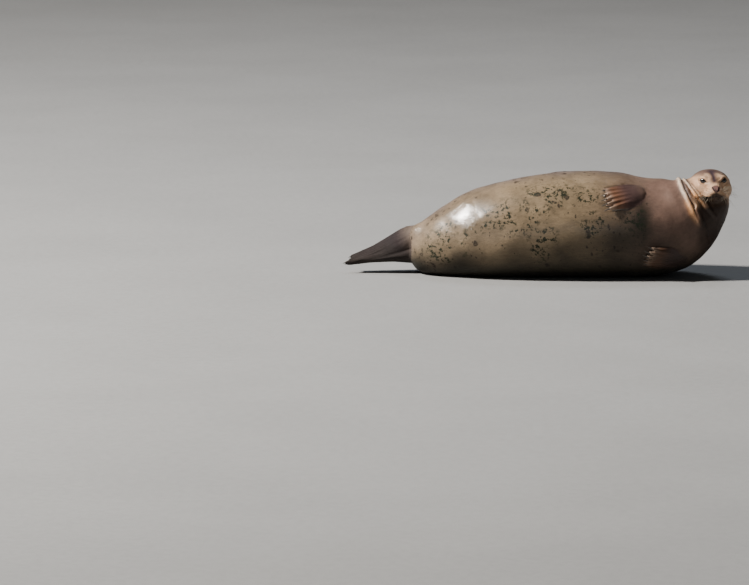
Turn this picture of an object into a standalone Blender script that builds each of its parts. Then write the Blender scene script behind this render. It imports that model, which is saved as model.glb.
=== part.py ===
"""Harbor seal, life size, at rest on its left side with its head raised and turned to one side.

Metres, +Z up, the floor at z = 0.  The body lies along X with the head at +X.  The belly faces -Y, so the
seal's right side is uppermost.  The trunk and neck are one lofted body, the head is built up from rounded
lumps, and both are fused, smoothed and parted with thin plane cuts.  Each flipper is a flat loft with five
digits.  It plugs into a socket of its own shape, and so do the claws, the eyes and the tail.
"""

import math
from collections import namedtuple

import bmesh
import bpy
import numpy as np
from mathutils import Matrix, Vector

# ---------------------------------------------------------------- driving dimensions
GAP = 0.0004  # clearance left between pieces that touch
FLOOR_DEPTH = 0.3  # thickness of the block that trims everything below z = 0

# One section of the trunk or neck: its centre, its half depth from belly to back, its half width from the
# left side to the right, and how far it leans back from upright, in degrees.
Section = namedtuple("Section", "x y z depth width lean")
BODY_SECTIONS = (
    Section(-0.514, 0.050, 0.104, 0.036, 0.038, 0),
    Section(-0.503, 0.048, 0.101, 0.066, 0.068, 0),
    Section(-0.484, 0.044, 0.101, 0.090, 0.090, 0),
    Section(-0.450, 0.036, 0.111, 0.112, 0.112, 0),
    Section(-0.390, 0.026, 0.131, 0.139, 0.137, 0),
    Section(-0.288, 0.012, 0.161, 0.172, 0.169, 0),
    Section(-0.184, 0.004, 0.178, 0.194, 0.186, 0),
    Section(-0.076, 0.000, 0.191, 0.207, 0.198, 0),
    Section(0.028, 0.000, 0.200, 0.215, 0.207, 0),
    Section(0.136, 0.000, 0.204, 0.219, 0.211, 0),
    Section(0.240, 0.000, 0.205, 0.218, 0.211, 0),
    Section(0.330, -0.003, 0.202, 0.213, 0.207, 0),
    Section(0.430, -0.008, 0.194, 0.201, 0.196, 3),
    Section(0.530, -0.016, 0.210, 0.187, 0.187, 17),
    Section(0.592, -0.026, 0.252, 0.164, 0.163, 34),
    Section(0.636, -0.036, 0.290, 0.132, 0.130, 45),
    Section(0.668, -0.044, 0.328, 0.100, 0.104, 54),
    Section(0.688, -0.048, 0.358, 0.076, 0.080, 58),
)
RING_POINTS = 56
RINGS_PER_SECTION = 6
BODY_FULLNESS = 2.2  # power of the superellipse: 2 is an ellipse, more is fuller

# Thighs: the pair of bulges at the rear, with the cleft between them that the hind flippers leave from.
THIGH_CENTRE = Vector((-0.436, 0.036, 0.112))
THIGH_SPACING = 0.080
THIGH_RADII = (0.086, 0.084, 0.062)

# Collar folds: rolls of skin where a plane crosses the neck.  Each has a point of its plane on the neck's
# axis, the way that the plane faces, its radius, and the arc that it covers, in degrees from the top
# towards the belly.
Fold = namedtuple("Fold", "centre facing radius start end")
FOLDS = (
    Fold(Vector((0.614, -0.029, 0.260)), Vector((0.905, 0.067, 0.421)), 0.0135, -55, 150),
    Fold(Vector((0.648, -0.037, 0.294)), Vector((0.790, 0.095, 0.600)), 0.0095, -45, 140),
)
FOLD_SINK = 0.0020
FOLD_POINTS = 28

# Head frame: the point between the ears, and the way that the nose points.
HEAD_CENTRE = Vector((0.679, -0.050, 0.386))
HEAD_YAW = math.radians(7)
HEAD_PITCH = math.radians(-3)

# A lump of the head, in millimetres: its centre to the right, forward and up, and its radii the same way.
Lump = namedtuple("Lump", "side forward up r_side r_forward r_up")
MIDDLE_LUMPS = {
    "cranium": Lump(0, -8, -10, 80, 84, 55),
    "forehead": Lump(0, 40, -2, 53, 54, 39),
    "snout_bridge": Lump(0, 84, -12, 27, 46, 23),
    "muzzle": Lump(0, 95, -30, 35, 42, 25),
    "nose": Lump(0, 129, -18, 20, 11, 12),
    "chin": Lump(0, 97, -53, 24, 29, 15),
    "jaw": Lump(0, 50, -51, 49, 60, 30),
    "throat": Lump(0, 2, -60, 64, 70, 46),
}
PAIRED_LUMPS = {
    "whisker_pad": Lump(19.5, 110, -34, 23, 26, 20),
    "cheek": Lump(46, 16, -30, 38, 60, 43),
    "eye_mound": Lump(32, 53, 13, 27, 25, 20),
}
EYE_CENTRE = Vector((34, 58, 10))  # millimetres, in the head frame
EYE_RADIUS = 0.0175
EYE_OPENING = Lump(47, 74, 15, 14, 14, 9.5)
NOSTRIL = Lump(11.0, 136.0, -17, 3.6, 4.5, 3.4)
EAR_HOLE = Lump(79, 0, 0, 6, 4, 4)

# The planes that part the body: a point of each, and the way that it faces.
CUTS = {
    "head": (Vector((0.652, -0.038, 0.303)), Vector((0.72, -0.10, 0.69))),
    "neck": (Vector((0.555, 0.0, 0.2)), Vector((0.90, -0.05, 0.43))),
    "chest": (Vector((0.150, 0.0, 0.2)), Vector((1, 0, 0))),
    "belly": (Vector((-0.190, 0.0, 0.2)), Vector((1, 0, 0))),
}
# A point inside each parted piece, which it is named by.
PIECES = {
    "head": Vector((0.69, -0.05, 0.39)),
    "neck": Vector((0.60, -0.03, 0.24)),
    "chest": Vector((0.34, 0.0, 0.19)),
    "belly": Vector((-0.02, 0.0, 0.19)),
    "hips": Vector((-0.32, 0.0, 0.16)),
}

# Flippers.  A flat section is a distance from the wrist, a half width and a half thickness.
Flat = namedtuple("Flat", "x width thickness")
Flipper = namedtuple("Flipper", "flats digits roots tips digit_radii claw claw_radius")
FORE = Flipper(
    flats=(
        Flat(-0.012, 0.030, 0.0090),
        Flat(0.008, 0.041, 0.0165),
        Flat(0.035, 0.049, 0.0155),
        Flat(0.075, 0.053, 0.0115),
        Flat(0.115, 0.052, 0.0075),
        Flat(0.142, 0.047, 0.0042),
    ),
    digits=(0.159, 0.161, 0.157, 0.150, 0.140),
    roots=(0.012, 0.030),
    tips=0.045,
    digit_radii=(0.0115, 0.0066),
    claw=0.026,
    claw_radius=0.0034,
)
HIND = Flipper(
    flats=(
        Flat(-0.040, 0.046, 0.036),
        Flat(-0.005, 0.056, 0.038),
        Flat(0.040, 0.056, 0.029),
        Flat(0.090, 0.051, 0.0185),
        Flat(0.150, 0.045, 0.0115),
        Flat(0.200, 0.038, 0.0070),
        Flat(0.236, 0.029, 0.0042),
    ),
    digits=(0.266, 0.250, 0.240, 0.236, 0.240),
    roots=(0.030, 0.034),
    tips=0.027,
    digit_radii=(0.0140, 0.0068),
    claw=0.015,
    claw_radius=0.0026,
)
DIGITS = 5
CLAW_SIDES = 5

# Where each flipper lies: wrist, a point that it heads for, and the way that its outer face looks.  side is
# +1 where its first digit is on the seal's right.  twist, in degrees, is how far its end is turned from its
# root.  bend_along and bend_across are how much it curls round the body.
Pose = namedtuple("Pose", "kind wrist heads_for outward side twist bend_along bend_across")
POSES = {
    "foreflipper_right": Pose(
        FORE, (0.412, -0.131, 0.345), (0.256, -0.206, 0.345), (0.0, -0.72, 0.69), 1, 0, 0.75, 2.1
    ),
    "foreflipper_left": Pose(
        FORE, (0.572, -0.126, 0.083), (0.432, -0.218, 0.086), (0.10, -0.76, -0.63), -1, 0, 0.90, 2.1
    ),
    "hindflipper_right": Pose(
        HIND, (-0.520, 0.060, 0.136), (-0.777, 0.062, 0.034), (0.0, -0.74, 0.67), 1, 40, -0.15, 1.0
    ),
    "hindflipper_left": Pose(
        HIND, (-0.500, 0.062, 0.074), (-0.760, 0.062, 0.036), (0.0, -0.15, -0.99), -1, 0, 0.0, 0.0
    ),
}

# The pieces that each flipper's claws touch, its own first.
CLAWS_TOUCH = {
    "foreflipper_right": ("foreflipper_right", "chest"),
    "foreflipper_left": ("foreflipper_left", "chest"),
    "hindflipper_right": ("hindflipper_right", "hindflipper_left"),
    "hindflipper_left": ("hindflipper_left", "hindflipper_right"),
}

# The tail, between the hind flippers on the back's side.
TAIL_BASE = Vector((-0.470, 0.088, 0.114))
TAIL_TIP = Vector((-0.588, 0.122, 0.100))
TAIL_SECTIONS = ((0.0, 0.030, 0.019), (0.35, 0.027, 0.016), (0.7, 0.021, 0.011), (0.94, 0.012, 0.006))

# Mesh fineness: the grid that lumps are fused on, the smoothing passes, and the triangles kept.
BODY_GRID, BODY_SMOOTHING, BODY_TRIANGLES = 0.004, 4, 2520
LIMB_GRID, LIMB_SMOOTHING, LIMB_TRIANGLES = 0.0025, 4, 320
TAIL_TRIANGLES = 120
DETAIL_WEIGHT = 0.0006  # how strongly the head is favoured when the body is thinned out

COLOURS = {
    # name: colour, roughness
    "coat_silver": ((0.42, 0.34, 0.28), 0.45),
    "coat_pale": ((0.55, 0.46, 0.37), 0.45),
    "flipper_brown": ((0.20, 0.15, 0.12), 0.50),
    "claw_horn": ((0.06, 0.05, 0.045), 0.35),
    "eye_black": ((0.012, 0.009, 0.008), 0.05),
}


# ---------------------------------------------------------------- modelling helpers
def clear_scene():
    for obj in list(bpy.data.objects):
        bpy.data.objects.remove(obj)


def material(name):
    made = bpy.data.materials.get(name)
    if made is None:
        colour, roughness = COLOURS[name]
        made = bpy.data.materials.new(name)
        made.use_nodes = True
        shader = made.node_tree.nodes["Principled BSDF"]
        shader.inputs["Base Color"].default_value = (*colour, 1)
        shader.inputs["Roughness"].default_value = roughness
        made.diffuse_color = (*colour, 1)
    return made


def new_object(name, mesh):
    obj = bpy.data.objects.new(name, mesh)
    bpy.context.scene.collection.objects.link(obj)
    return obj


def smooth_rows(rows, steps):
    """Rows of numbers joined by a Catmull-Rom curve, with this many steps from each row to the next."""
    rows = np.array(rows, float)
    ends = np.vstack([2 * rows[0] - rows[1], rows, 2 * rows[-1] - rows[-2]])
    made = []
    for a, b, c, d in zip(ends, ends[1:], ends[2:], ends[3:]):
        for t in np.arange(steps) / steps:
            made.append(
                0.5 * (2 * b + (c - a) * t + (2 * a - 5 * b + 4 * c - d) * t**2 + (3 * b - a - 3 * c + d) * t**3)
            )
    return np.array([*made, rows[-1]])


def superellipse(angle, power):
    """(cosine, sine) of a unit ring, made fuller by a power over 2."""
    c, s = math.cos(angle), math.sin(angle)
    scale = (abs(c) ** power + abs(s) ** power) ** (-1 / power)
    return c * scale, s * scale


def loft(name, rings):
    """A closed skin over rings of points, with a fan of faces at each end."""
    shape = bmesh.new()
    rows = [[shape.verts.new(p) for p in ring] for ring in rings]
    for low, high in zip(rows, rows[1:]):
        for k in range(len(low)):
            n = (k + 1) % len(low)
            shape.faces.new((low[k], low[n], high[n], high[k]))
    for row in (rows[0], rows[-1]):
        middle = shape.verts.new(sum((v.co for v in row), Vector()) / len(row))
        for k in range(len(row)):
            shape.faces.new((row[k], row[(k + 1) % len(row)], middle))
    bmesh.ops.recalc_face_normals(shape, faces=shape.faces)
    mesh = bpy.data.meshes.new(name)
    shape.to_mesh(mesh)
    shape.free()
    return new_object(name, mesh)


def ball(name, matrix, segments=32):
    """A unit ball moved and stretched by a matrix."""
    bpy.ops.mesh.primitive_uv_sphere_add(segments=segments, ring_count=segments // 2, radius=1)
    obj = bpy.context.object
    obj.name = name
    obj.data.transform(matrix)
    return obj


def stretched(centre, radii):
    return Matrix.Translation(centre) @ Matrix.Diagonal((*radii, 1))


def tube(name, points, radii):
    """A round tube along points, with its own radius at each, as a welded mesh."""
    curve = bpy.data.curves.new(name, "CURVE")
    curve.dimensions = "3D"
    curve.bevel_depth = 1
    curve.bevel_resolution = 3
    curve.use_fill_caps = True
    line = curve.splines.new("POLY")
    line.points.add(len(points) - 1)
    for spot, point, radius in zip(line.points, points, radii):
        spot.co = (*point, 1)
        spot.radius = radius
    wire = new_object(name + "_line", curve)
    obj = new_object(name, evaluated_mesh(wire))
    bpy.data.objects.remove(wire)
    shape = bmesh.new()
    shape.from_mesh(obj.data)
    bmesh.ops.remove_doubles(shape, verts=shape.verts, dist=1e-5)
    shape.to_mesh(obj.data)
    shape.free()
    return obj


def evaluated_mesh(obj):
    """The object's mesh with its modifiers applied."""
    bpy.context.view_layer.update()
    graph = bpy.context.evaluated_depsgraph_get()
    return bpy.data.meshes.new_from_object(obj.evaluated_get(graph))


def apply_modifiers(obj):
    made = evaluated_mesh(obj)
    obj.modifiers.clear()
    obj.data = made


def joined(name, objects):
    bpy.ops.object.select_all(action="DESELECT")
    for obj in objects:
        obj.select_set(True)
    bpy.context.view_layer.objects.active = objects[0]
    if len(objects) > 1:
        bpy.ops.object.join()
    objects[0].name = name
    return objects[0]


def fused(name, objects, grid, smoothing):
    """The objects run together into one smooth skin, as clay is."""
    obj = joined(name, objects)
    remesh = obj.modifiers.new("fuse", "REMESH")
    remesh.mode = "VOXEL"
    remesh.voxel_size = grid
    smooth = obj.modifiers.new("smooth", "SMOOTH")
    smooth.factor = 0.5
    smooth.iterations = smoothing
    apply_modifiers(obj)
    return obj


def thin_out(obj, triangles, keep=None):
    """Keeps this many triangles, the most where the surface curves, or where keep(point) says 1 rather than 0."""
    count = sum(len(face.vertices) - 2 for face in obj.data.polygons)
    decimate = obj.modifiers.new("thin", "DECIMATE")
    decimate.ratio = triangles / count
    if keep:
        group = obj.vertex_groups.new(name="thin")
        for v in obj.data.vertices:
            group.add([v.index], 1 - 0.95 * keep(v.co), "REPLACE")
        decimate.vertex_group = group.name
        decimate.vertex_group_factor = DETAIL_WEIGHT
    apply_modifiers(obj)
    obj.vertex_groups.clear()


def boolean(obj, other, operation="DIFFERENCE"):
    cut = obj.modifiers.new("cut", "BOOLEAN")
    cut.operation = operation
    cut.object = other
    cut.solver = "EXACT"
    apply_modifiers(obj)


def drop_slivers(obj):
    """Keeps only the largest of the bodies that the cuts left."""
    shape = bmesh.new()
    shape.from_mesh(obj.data)
    waiting = set(shape.verts)
    islands = []
    while waiting:
        edge = [waiting.pop()]
        island = set(edge)
        while edge:
            for link in edge.pop().link_edges:
                for vert in link.verts:
                    if vert in waiting:
                        waiting.remove(vert)
                        island.add(vert)
                        edge.append(vert)
        islands.append(island)
    islands.sort(key=len)
    for island in islands[:-1]:
        bmesh.ops.delete(shape, geom=list(island), context="VERTS")
    shape.to_mesh(obj.data)
    shape.free()


def swollen_copy(obj, by=GAP):
    """A copy that stands this far out all over, to cut a socket with."""
    copy = new_object(obj.name + "_socket", obj.data.copy())
    shift = copy.modifiers.new("swell", "DISPLACE")
    shift.strength = by
    shift.mid_level = 0
    apply_modifiers(copy)
    return copy


def cut_socket(obj, plug):
    socket = swollen_copy(plug)
    boolean(obj, socket)
    bpy.data.objects.remove(socket)


def trim_below_floor(obj):
    bpy.ops.mesh.primitive_cube_add(size=1)
    block = bpy.context.object
    block.data.transform(Matrix.Translation((0, 0, -FLOOR_DEPTH / 2)) @ Matrix.Diagonal((4, 4, FLOOR_DEPTH, 1)))
    boolean(obj, block)
    bpy.data.objects.remove(block)


# ---------------------------------------------------------------- trunk, neck and head
def body_rings():
    """Rings of points round the body, from the rear to the head."""
    turn = 2 * math.pi / RING_POINTS
    outline = [superellipse(k * turn, BODY_FULLNESS) for k in range(RING_POINTS)]
    rings = []
    for x, y, z, depth, width, lean in smooth_rows(BODY_SECTIONS, RINGS_PER_SECTION):
        centre = Vector((x, y, z))
        back = Vector((0, depth, 0))
        right = Vector((-math.sin(math.radians(lean)), 0, math.cos(math.radians(lean)))) * width
        rings.append([centre + back * c + right * s for c, s in outline])
    return rings


def trunk_and_neck():
    thighs = [
        ball("thigh", stretched(THIGH_CENTRE + Vector((0, 0, side * THIGH_SPACING / 2)), THIGH_RADII))
        for side in (1, -1)
    ]
    return [loft("trunk", body_rings()), *thighs]


def collar_fold(body, fold):
    """A roll of skin where a plane crosses the neck, thinned to nothing at both ends."""
    facing = fold.facing.normalized()
    top = (Vector((0, 0, 1)) - facing * facing.z).normalized()
    front = top.cross(facing)
    if front.y > 0:
        front = -front
    points = []
    radii = []
    for share in np.linspace(0, 1, FOLD_POINTS):
        angle = math.radians(fold.start + (fold.end - fold.start) * share)
        outward = top * math.cos(angle) + front * math.sin(angle)
        start = fold.centre + outward * 0.4
        _, surface, _, _ = body.ray_cast(start, -outward)
        swell = math.sin(math.pi * share) ** 0.5
        points.append(surface - outward * FOLD_SINK * (4 - 3 * swell))
        radii.append(0.002 + fold.radius * swell)
    return tube("fold", points, radii)


def head_matrix():
    """From the head frame, whose axes are the seal's right, forward and up, to the world."""
    turn = Matrix.Rotation(math.pi + HEAD_YAW, 4, "Z") @ Matrix.Rotation(HEAD_PITCH, 4, "X")
    return Matrix.Translation(HEAD_CENTRE) @ turn @ Matrix.Scale(0.001, 4)


def head_lump(name, lump, side=1, segments=32):
    centre = Vector((lump.side * side, lump.forward, lump.up))
    return ball(name, head_matrix() @ stretched(centre, lump[3:]), segments)


def head_lumps():
    lumps = [head_lump(name, lump) for name, lump in MIDDLE_LUMPS.items()]
    for side in (1, -1):
        lumps += [head_lump(name, lump, side) for name, lump in PAIRED_LUMPS.items()]
    return lumps


def detail_wanted(point):
    """1 on the head, fading to 0 along the neck."""
    start, facing = CUTS["head"]
    along = (point - start).dot(facing.normalized())
    return min(1.0, max(0.0, 0.25 + along / 0.10))


def parted(body):
    """The body cut into its named pieces by thin discs."""
    discs = []
    for point, facing in CUTS.values():
        turn = facing.to_track_quat("Z", "Y").to_matrix().to_4x4()
        bpy.ops.mesh.primitive_cylinder_add(vertices=24, radius=0.4, depth=GAP)
        disc = bpy.context.object
        disc.data.transform(Matrix.Translation(point) @ turn)
        discs.append(disc)
    cutter = joined("cut_discs", discs)
    boolean(body, cutter)
    bpy.data.objects.remove(cutter)
    bpy.ops.object.select_all(action="DESELECT")
    body.select_set(True)
    bpy.context.view_layer.objects.active = body
    bpy.ops.mesh.separate(type="LOOSE")
    made = {}
    for piece in list(bpy.context.selected_objects):
        middle = sum((v.co for v in piece.data.vertices), Vector()) / len(piece.data.vertices)
        name = min(PIECES, key=lambda n: (PIECES[n] - middle).length)
        piece.name = name
        made[name] = piece
    return made


def eye(side):
    centre = head_matrix() @ Vector((EYE_CENTRE.x * side, EYE_CENTRE.y, EYE_CENTRE.z))
    name = "eye_right" if side > 0 else "eye_left"
    return ball(name, stretched(centre, (EYE_RADIUS,) * 3), segments=14)


# ---------------------------------------------------------------- flippers, claws and tail
def digit_line(kind, number, side):
    """The start and end of a digit in the flipper's own flat frame."""
    share = (number - (DIGITS - 1) / 2) / ((DIGITS - 1) / 2)
    start_x, start_y = kind.roots
    return (
        Vector((start_x, -side * share * start_y, 0)),
        Vector((kind.digits[number], -side * share * kind.tips, 0)),
    )


def placed(obj, pose):
    """Bends a flat flipper or claw and carries it to its place on the body."""
    kind = pose.kind
    wrist = Vector(pose.wrist)
    ahead = (Vector(pose.heads_for) - wrist).normalized()
    outward = Vector(pose.outward)
    outward = (outward - ahead * outward.dot(ahead)).normalized()
    across = outward.cross(ahead)
    carry = Matrix.Translation(wrist) @ Matrix((ahead, across, outward)).transposed().to_4x4()
    for v in obj.data.vertices:
        v.co.z -= pose.bend_along * v.co.x * abs(v.co.x) + pose.bend_across * v.co.y**2
        turn = math.radians(pose.twist) * max(0, v.co.x) / kind.digits[0]
        v.co.yz = Matrix.Rotation(turn, 2) @ v.co.yz
    obj.data.transform(carry)
    return obj


def flipper(name, pose):
    kind = pose.kind
    rings = []
    for row in smooth_rows(kind.flats, 4):
        ring = [superellipse(2 * math.pi * k / 32, 2.0) for k in range(32)]
        rings.append([Vector((row[0], c * row[1], s * row[2])) for c, s in ring])
    pieces = [loft(name, rings)]
    for number in range(DIGITS):
        start, end = digit_line(kind, number, pose.side)
        thick, thin = kind.digit_radii
        shares = np.linspace(0, 1, 8)
        points = [start.lerp(end, share) for share in shares]
        radii = [(thick + (thin - thick) * share) * (1.12 if share == 0.875 else 1) for share in shares]
        pieces.append(tube("digit", points, radii))
        pieces.append(ball("digit_end", stretched(end, (thin * 1.2, thin, thin * 0.95)), 12))
    made = fused(name, pieces, LIMB_GRID, LIMB_SMOOTHING)
    thin_out(made, LIMB_TRIANGLES)
    return placed(made, pose)


def claw(name, pose, number):
    """A tapered, down-curved claw that starts inside the end of its digit."""
    kind = pose.kind
    start, end = digit_line(kind, number, pose.side)
    ahead = (end - start).normalized()
    across = Vector((0, 0, 1)).cross(ahead)
    begin = end + ahead * (kind.digit_radii[1] * 0.35)
    rings = []
    for share in (0.0, 0.4, 0.75, 1.0):
        middle = begin + ahead * kind.claw * share
        middle.z += kind.claw * (0.10 * share - 0.32 * share**2) + kind.digit_radii[1] * 0.35
        radius = kind.claw_radius * (1 - 0.82 * share**1.5)
        ring = [2 * math.pi * k / CLAW_SIDES for k in range(CLAW_SIDES)]
        rings.append([middle + across * math.cos(a) * radius + Vector((0, 0, math.sin(a) * radius)) for a in ring])
    return placed(loft(name, rings), pose)


def tail():
    ahead = TAIL_TIP - TAIL_BASE
    back = Vector((0, 1, 0.1)).normalized()
    across = ahead.normalized().cross(back).normalized()
    back = across.cross(ahead.normalized())
    rings = []
    for row in smooth_rows(TAIL_SECTIONS, 4):
        ring = [superellipse(2 * math.pi * k / 20, 2.0) for k in range(20)]
        rings.append([TAIL_BASE + ahead * row[0] + across * c * row[1] + back * s * row[2] for c, s in ring])
    made = fused("tail", [loft("tail", rings)], LIMB_GRID, LIMB_SMOOTHING)
    thin_out(made, TAIL_TRIANGLES)
    return made


# ---------------------------------------------------------------- the whole seal
def finish(obj, colour):
    obj.data.materials.clear()
    obj.data.materials.append(material(colour))
    obj.data.shade_smooth()
    obj.data.set_sharp_from_angle(angle=math.radians(50))


def stand_on_floor(objects):
    """Moves the whole seal so that the middle of its box is over the origin and its lowest flats are at z = 0."""
    corners = np.array([v.co for obj in objects for v in obj.data.vertices])
    low, high = corners.min(0), corners.max(0)
    shift = Matrix.Translation((-(low[0] + high[0]) / 2, -(low[1] + high[1]) / 2, -low[2]))
    for obj in objects:
        obj.data.transform(shift)


def main():
    clear_scene()
    body = joined("body", [*trunk_and_neck(), *head_lumps()])
    bpy.context.view_layer.update()
    folds = [collar_fold(body, fold) for fold in FOLDS]
    body = fused("body", [body, *folds], BODY_GRID, BODY_SMOOTHING)
    thin_out(body, BODY_TRIANGLES, detail_wanted)
    trim_below_floor(body)
    nodes = parted(body)

    head = nodes["head"]
    for side in (1, -1):
        ball_of_eye = eye(side)
        cut_socket(head, ball_of_eye)
        nodes[ball_of_eye.name] = ball_of_eye
        for hollow, segments in ((EYE_OPENING, 14), (NOSTRIL, 8), (EAR_HOLE, 8)):
            cutter = head_lump("hollow", hollow, side, segments)
            boolean(head, cutter)
            bpy.data.objects.remove(cutter)

    limbs = {}
    for name, pose in POSES.items():
        limb = flipper(name, pose)
        for other in limbs.values():
            cut_socket(limb, other)
        limbs[name] = limb
        trim_below_floor(limb)
    limbs["tail"] = tail()
    for name in ("hindflipper_right", "hindflipper_left"):
        cut_socket(limbs["tail"], limbs[name])
    for name in ("neck", "chest", "hips"):
        for limb in limbs.values():
            cut_socket(nodes[name], limb)
    for name, pose in POSES.items():
        for number in range(DIGITS):
            horn = claw(f"claw_{name}_{number + 1}", pose, number)
            for near in CLAWS_TOUCH[name]:
                cut_socket(limbs.get(near) or nodes[near], horn)
            nodes[horn.name] = horn
    nodes.update(limbs)

    for obj in nodes.values():
        drop_slivers(obj)

    seal = bpy.data.collections.new("harbor_seal")
    bpy.context.scene.collection.children.link(seal)
    for name, obj in nodes.items():
        if name.startswith("claw"):
            finish(obj, "claw_horn")
        elif name.startswith("eye"):
            finish(obj, "eye_black")
        elif "flipper" in name or name == "tail":
            finish(obj, "flipper_brown")
        else:
            finish(obj, "coat_pale" if name == "head" else "coat_silver")
        for collection in list(obj.users_collection):
            collection.objects.unlink(obj)
        seal.objects.link(obj)
    stand_on_floor(nodes.values())


main()
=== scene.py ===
"""Dresses the life-size harbor seal: one skin over all of its flesh, with lids, nose, lips and folds, and
over it a short coat, whiskers, eyes and claws, on a plain studio floor.

Sizes of the face are in millimetres in the head's own frame: the seal's right, forward and up.  All other
lengths are in metres in the frame of the solids.
"""

import math

import bmesh
import bpy
import numpy as np
from bpy.props import FloatProperty, FloatVectorProperty, IntProperty, PointerProperty
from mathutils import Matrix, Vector
from mathutils.bvhtree import BVHTree


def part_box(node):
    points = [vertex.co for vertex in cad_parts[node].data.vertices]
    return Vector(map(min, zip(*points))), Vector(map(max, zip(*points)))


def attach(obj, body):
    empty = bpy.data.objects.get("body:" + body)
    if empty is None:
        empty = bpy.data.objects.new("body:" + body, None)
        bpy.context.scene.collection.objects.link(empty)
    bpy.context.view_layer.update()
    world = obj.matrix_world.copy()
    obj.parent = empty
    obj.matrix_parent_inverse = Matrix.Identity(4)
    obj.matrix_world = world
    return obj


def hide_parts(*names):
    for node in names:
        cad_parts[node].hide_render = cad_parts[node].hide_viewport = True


bl_info = {
    "name": "Harbor seal model",
    "version": (1, 0, 0),
    "blender": (4, 5, 0),
    "location": "3D View > Sidebar > Seal",
    "description": "Skin, coat, whiskers, eyes and claws of a life-size harbor seal",
    "category": "Object",
}

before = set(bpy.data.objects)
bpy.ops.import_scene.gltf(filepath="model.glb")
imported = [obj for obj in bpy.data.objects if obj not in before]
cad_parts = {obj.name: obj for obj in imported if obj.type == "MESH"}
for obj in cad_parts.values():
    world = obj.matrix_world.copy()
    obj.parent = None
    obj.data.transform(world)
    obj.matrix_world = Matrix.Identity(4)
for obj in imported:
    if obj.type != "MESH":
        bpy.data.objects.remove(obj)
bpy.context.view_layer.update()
bpy.ops.object.select_all(action="DESELECT")

MM = 0.001
FLESH = sorted(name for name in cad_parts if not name.startswith(("claw", "eye")))
FLIPPERS = ("foreflipper_right", "foreflipper_left", "hindflipper_right", "hindflipper_left")
RIDGE_HEIGHTS = {"foreflipper": 0.0038, "hindflipper": 0.0032}  # of the digits over the webs
LIMB_MARGIN = 0.016  # how far off a flipper is still felt
LIMB_STEP = 2.0  # keeps each flipper's combed places apart from the others'
DIGITS = range(1, 6)
SIDES = (1, -1)  # the seal's right and left

# ---------------------------------------------------------------- the seal's own measures
# The head, in millimetres.
EYE_PLACE = np.array((34.0, 58.0, 10.0))
HEAD_PITCH = math.radians(-3)
EYE_RADIUS = 17.5
GAZE = np.array((0.60, 0.76, 0.20))  # the way that the right eye looks
EYE_TILT = math.radians(9)  # the outer corner is higher than the inner one
OPENING_HALF_WIDTH = 12.2
OPENING_ABOVE = 6.4
OPENING_BELOW = 5.4
LID_THICKNESS = 2.0
LID_PLAY = 0.15  # between eyeball and eye socket
NOSE_TIP = np.array((0.0, 139.0, -18.0))
NOSE_MIDDLE = -9.0  # height of the nose pad's middle
NOSTRIL_LOW = np.array((4.5, -15.5))  # right and up
NOSTRIL_HIGH = np.array((13.0, -4.0))
LIP_LEVEL = -42.0
LIP_CORNER = 70.0  # how far forward the mouth's corners are
EAR_PLACE = np.array((77.0, -2.0, 0.0))
MUZZLE_MIDDLE = np.array((20.0, 110.0, -27.0))  # middle of the right whisker pad

# Collar folds: a point of each on the neck's axis, the way that its plane faces, the width and height of its
# roll, the depth of the groove in front of it, and where it starts and ends, in degrees from the top
# towards the belly.
FOLDS = (
    ((0.625, -0.023, 0.260), (0.905, -0.020, 0.421), 0.0080, 0.0046, 0.0060, -60, 98),
    ((0.659, -0.031, 0.294), (0.790, 0.030, 0.600), 0.0050, 0.0020, 0.0036, -50, 84),
)


# ---------------------------------------------------------------- small helpers for arrays of points
def smooth(value, low, high):
    """0 up to low, 1 from high on, and an even S between them."""
    share = np.clip((value - low) / (high - low), 0, 1)
    return share * share * (3 - 2 * share)


def fading(value, low, high):
    """1 up to low, 0 from high on, and an even S between them."""
    return 1 - smooth(value, low, high)


def bell(value, width):
    """1 where value is 0, fading out on both sides by about twice the width."""
    return np.exp(-((value / width) ** 2))


def unit(rows):
    return rows / np.maximum(np.linalg.norm(rows, axis=-1, keepdims=True), 1e-12)


def mixed(base, other, share):
    """Rows of colours or directions, moved towards another by each row's share."""
    return base + (np.asarray(other) - base) * np.asarray(share)[:, None]


def curved(rows, steps):
    """A smooth line through points, with this many steps between each and the next."""
    rows = np.array(rows, float)
    ends = np.vstack([2 * rows[0] - rows[1], rows, 2 * rows[-1] - rows[-2]])
    made = []
    for a, b, c, d in zip(ends, ends[1:], ends[2:], ends[3:]):
        for t in np.arange(steps) / steps:
            bend = (2 * a - 5 * b + 4 * c - d) * t**2 + (3 * b - a - 3 * c + d) * t**3
            made.append(b + 0.5 * ((c - a) * t + bend))
    return np.array([*made, rows[-1]])


def rows_of(items, field, width, kind=np.float32):
    """A field of a mesh's items as rows of numbers."""
    values = np.empty(len(items) * width, kind)
    items.foreach_get(field, values)
    return values.reshape(-1, width)


def write_rows(items, field, values, kind=np.float32):
    items.foreach_set(field, np.ascontiguousarray(values, kind).ravel())


def points_of(mesh):
    return rows_of(mesh.vertices, "co", 3).astype(float)


def normals_of(mesh):
    return rows_of(mesh.vertex_normals, "vector", 3).astype(float)


def edges_of(mesh):
    return rows_of(mesh.edges, "vertices", 2, np.int32)


def triangles_of(mesh):
    mesh.calc_loop_triangles()
    return rows_of(mesh.loop_triangles, "vertices", 3, np.int32)


def move_points(mesh, points):
    write_rows(mesh.vertices, "co", points)
    mesh.update()


def averaged(values, edges):
    """Each row's neighbours' mean."""
    count = len(values)
    one, two = edges.T
    degree = np.bincount(one, minlength=count) + np.bincount(two, minlength=count)
    total = np.empty(values.shape)
    for k in range(values.shape[1]):
        total[:, k] = np.bincount(one, values[two, k], count) + np.bincount(two, values[one, k], count)
    return total / np.maximum(degree, 1)[:, None]


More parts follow.
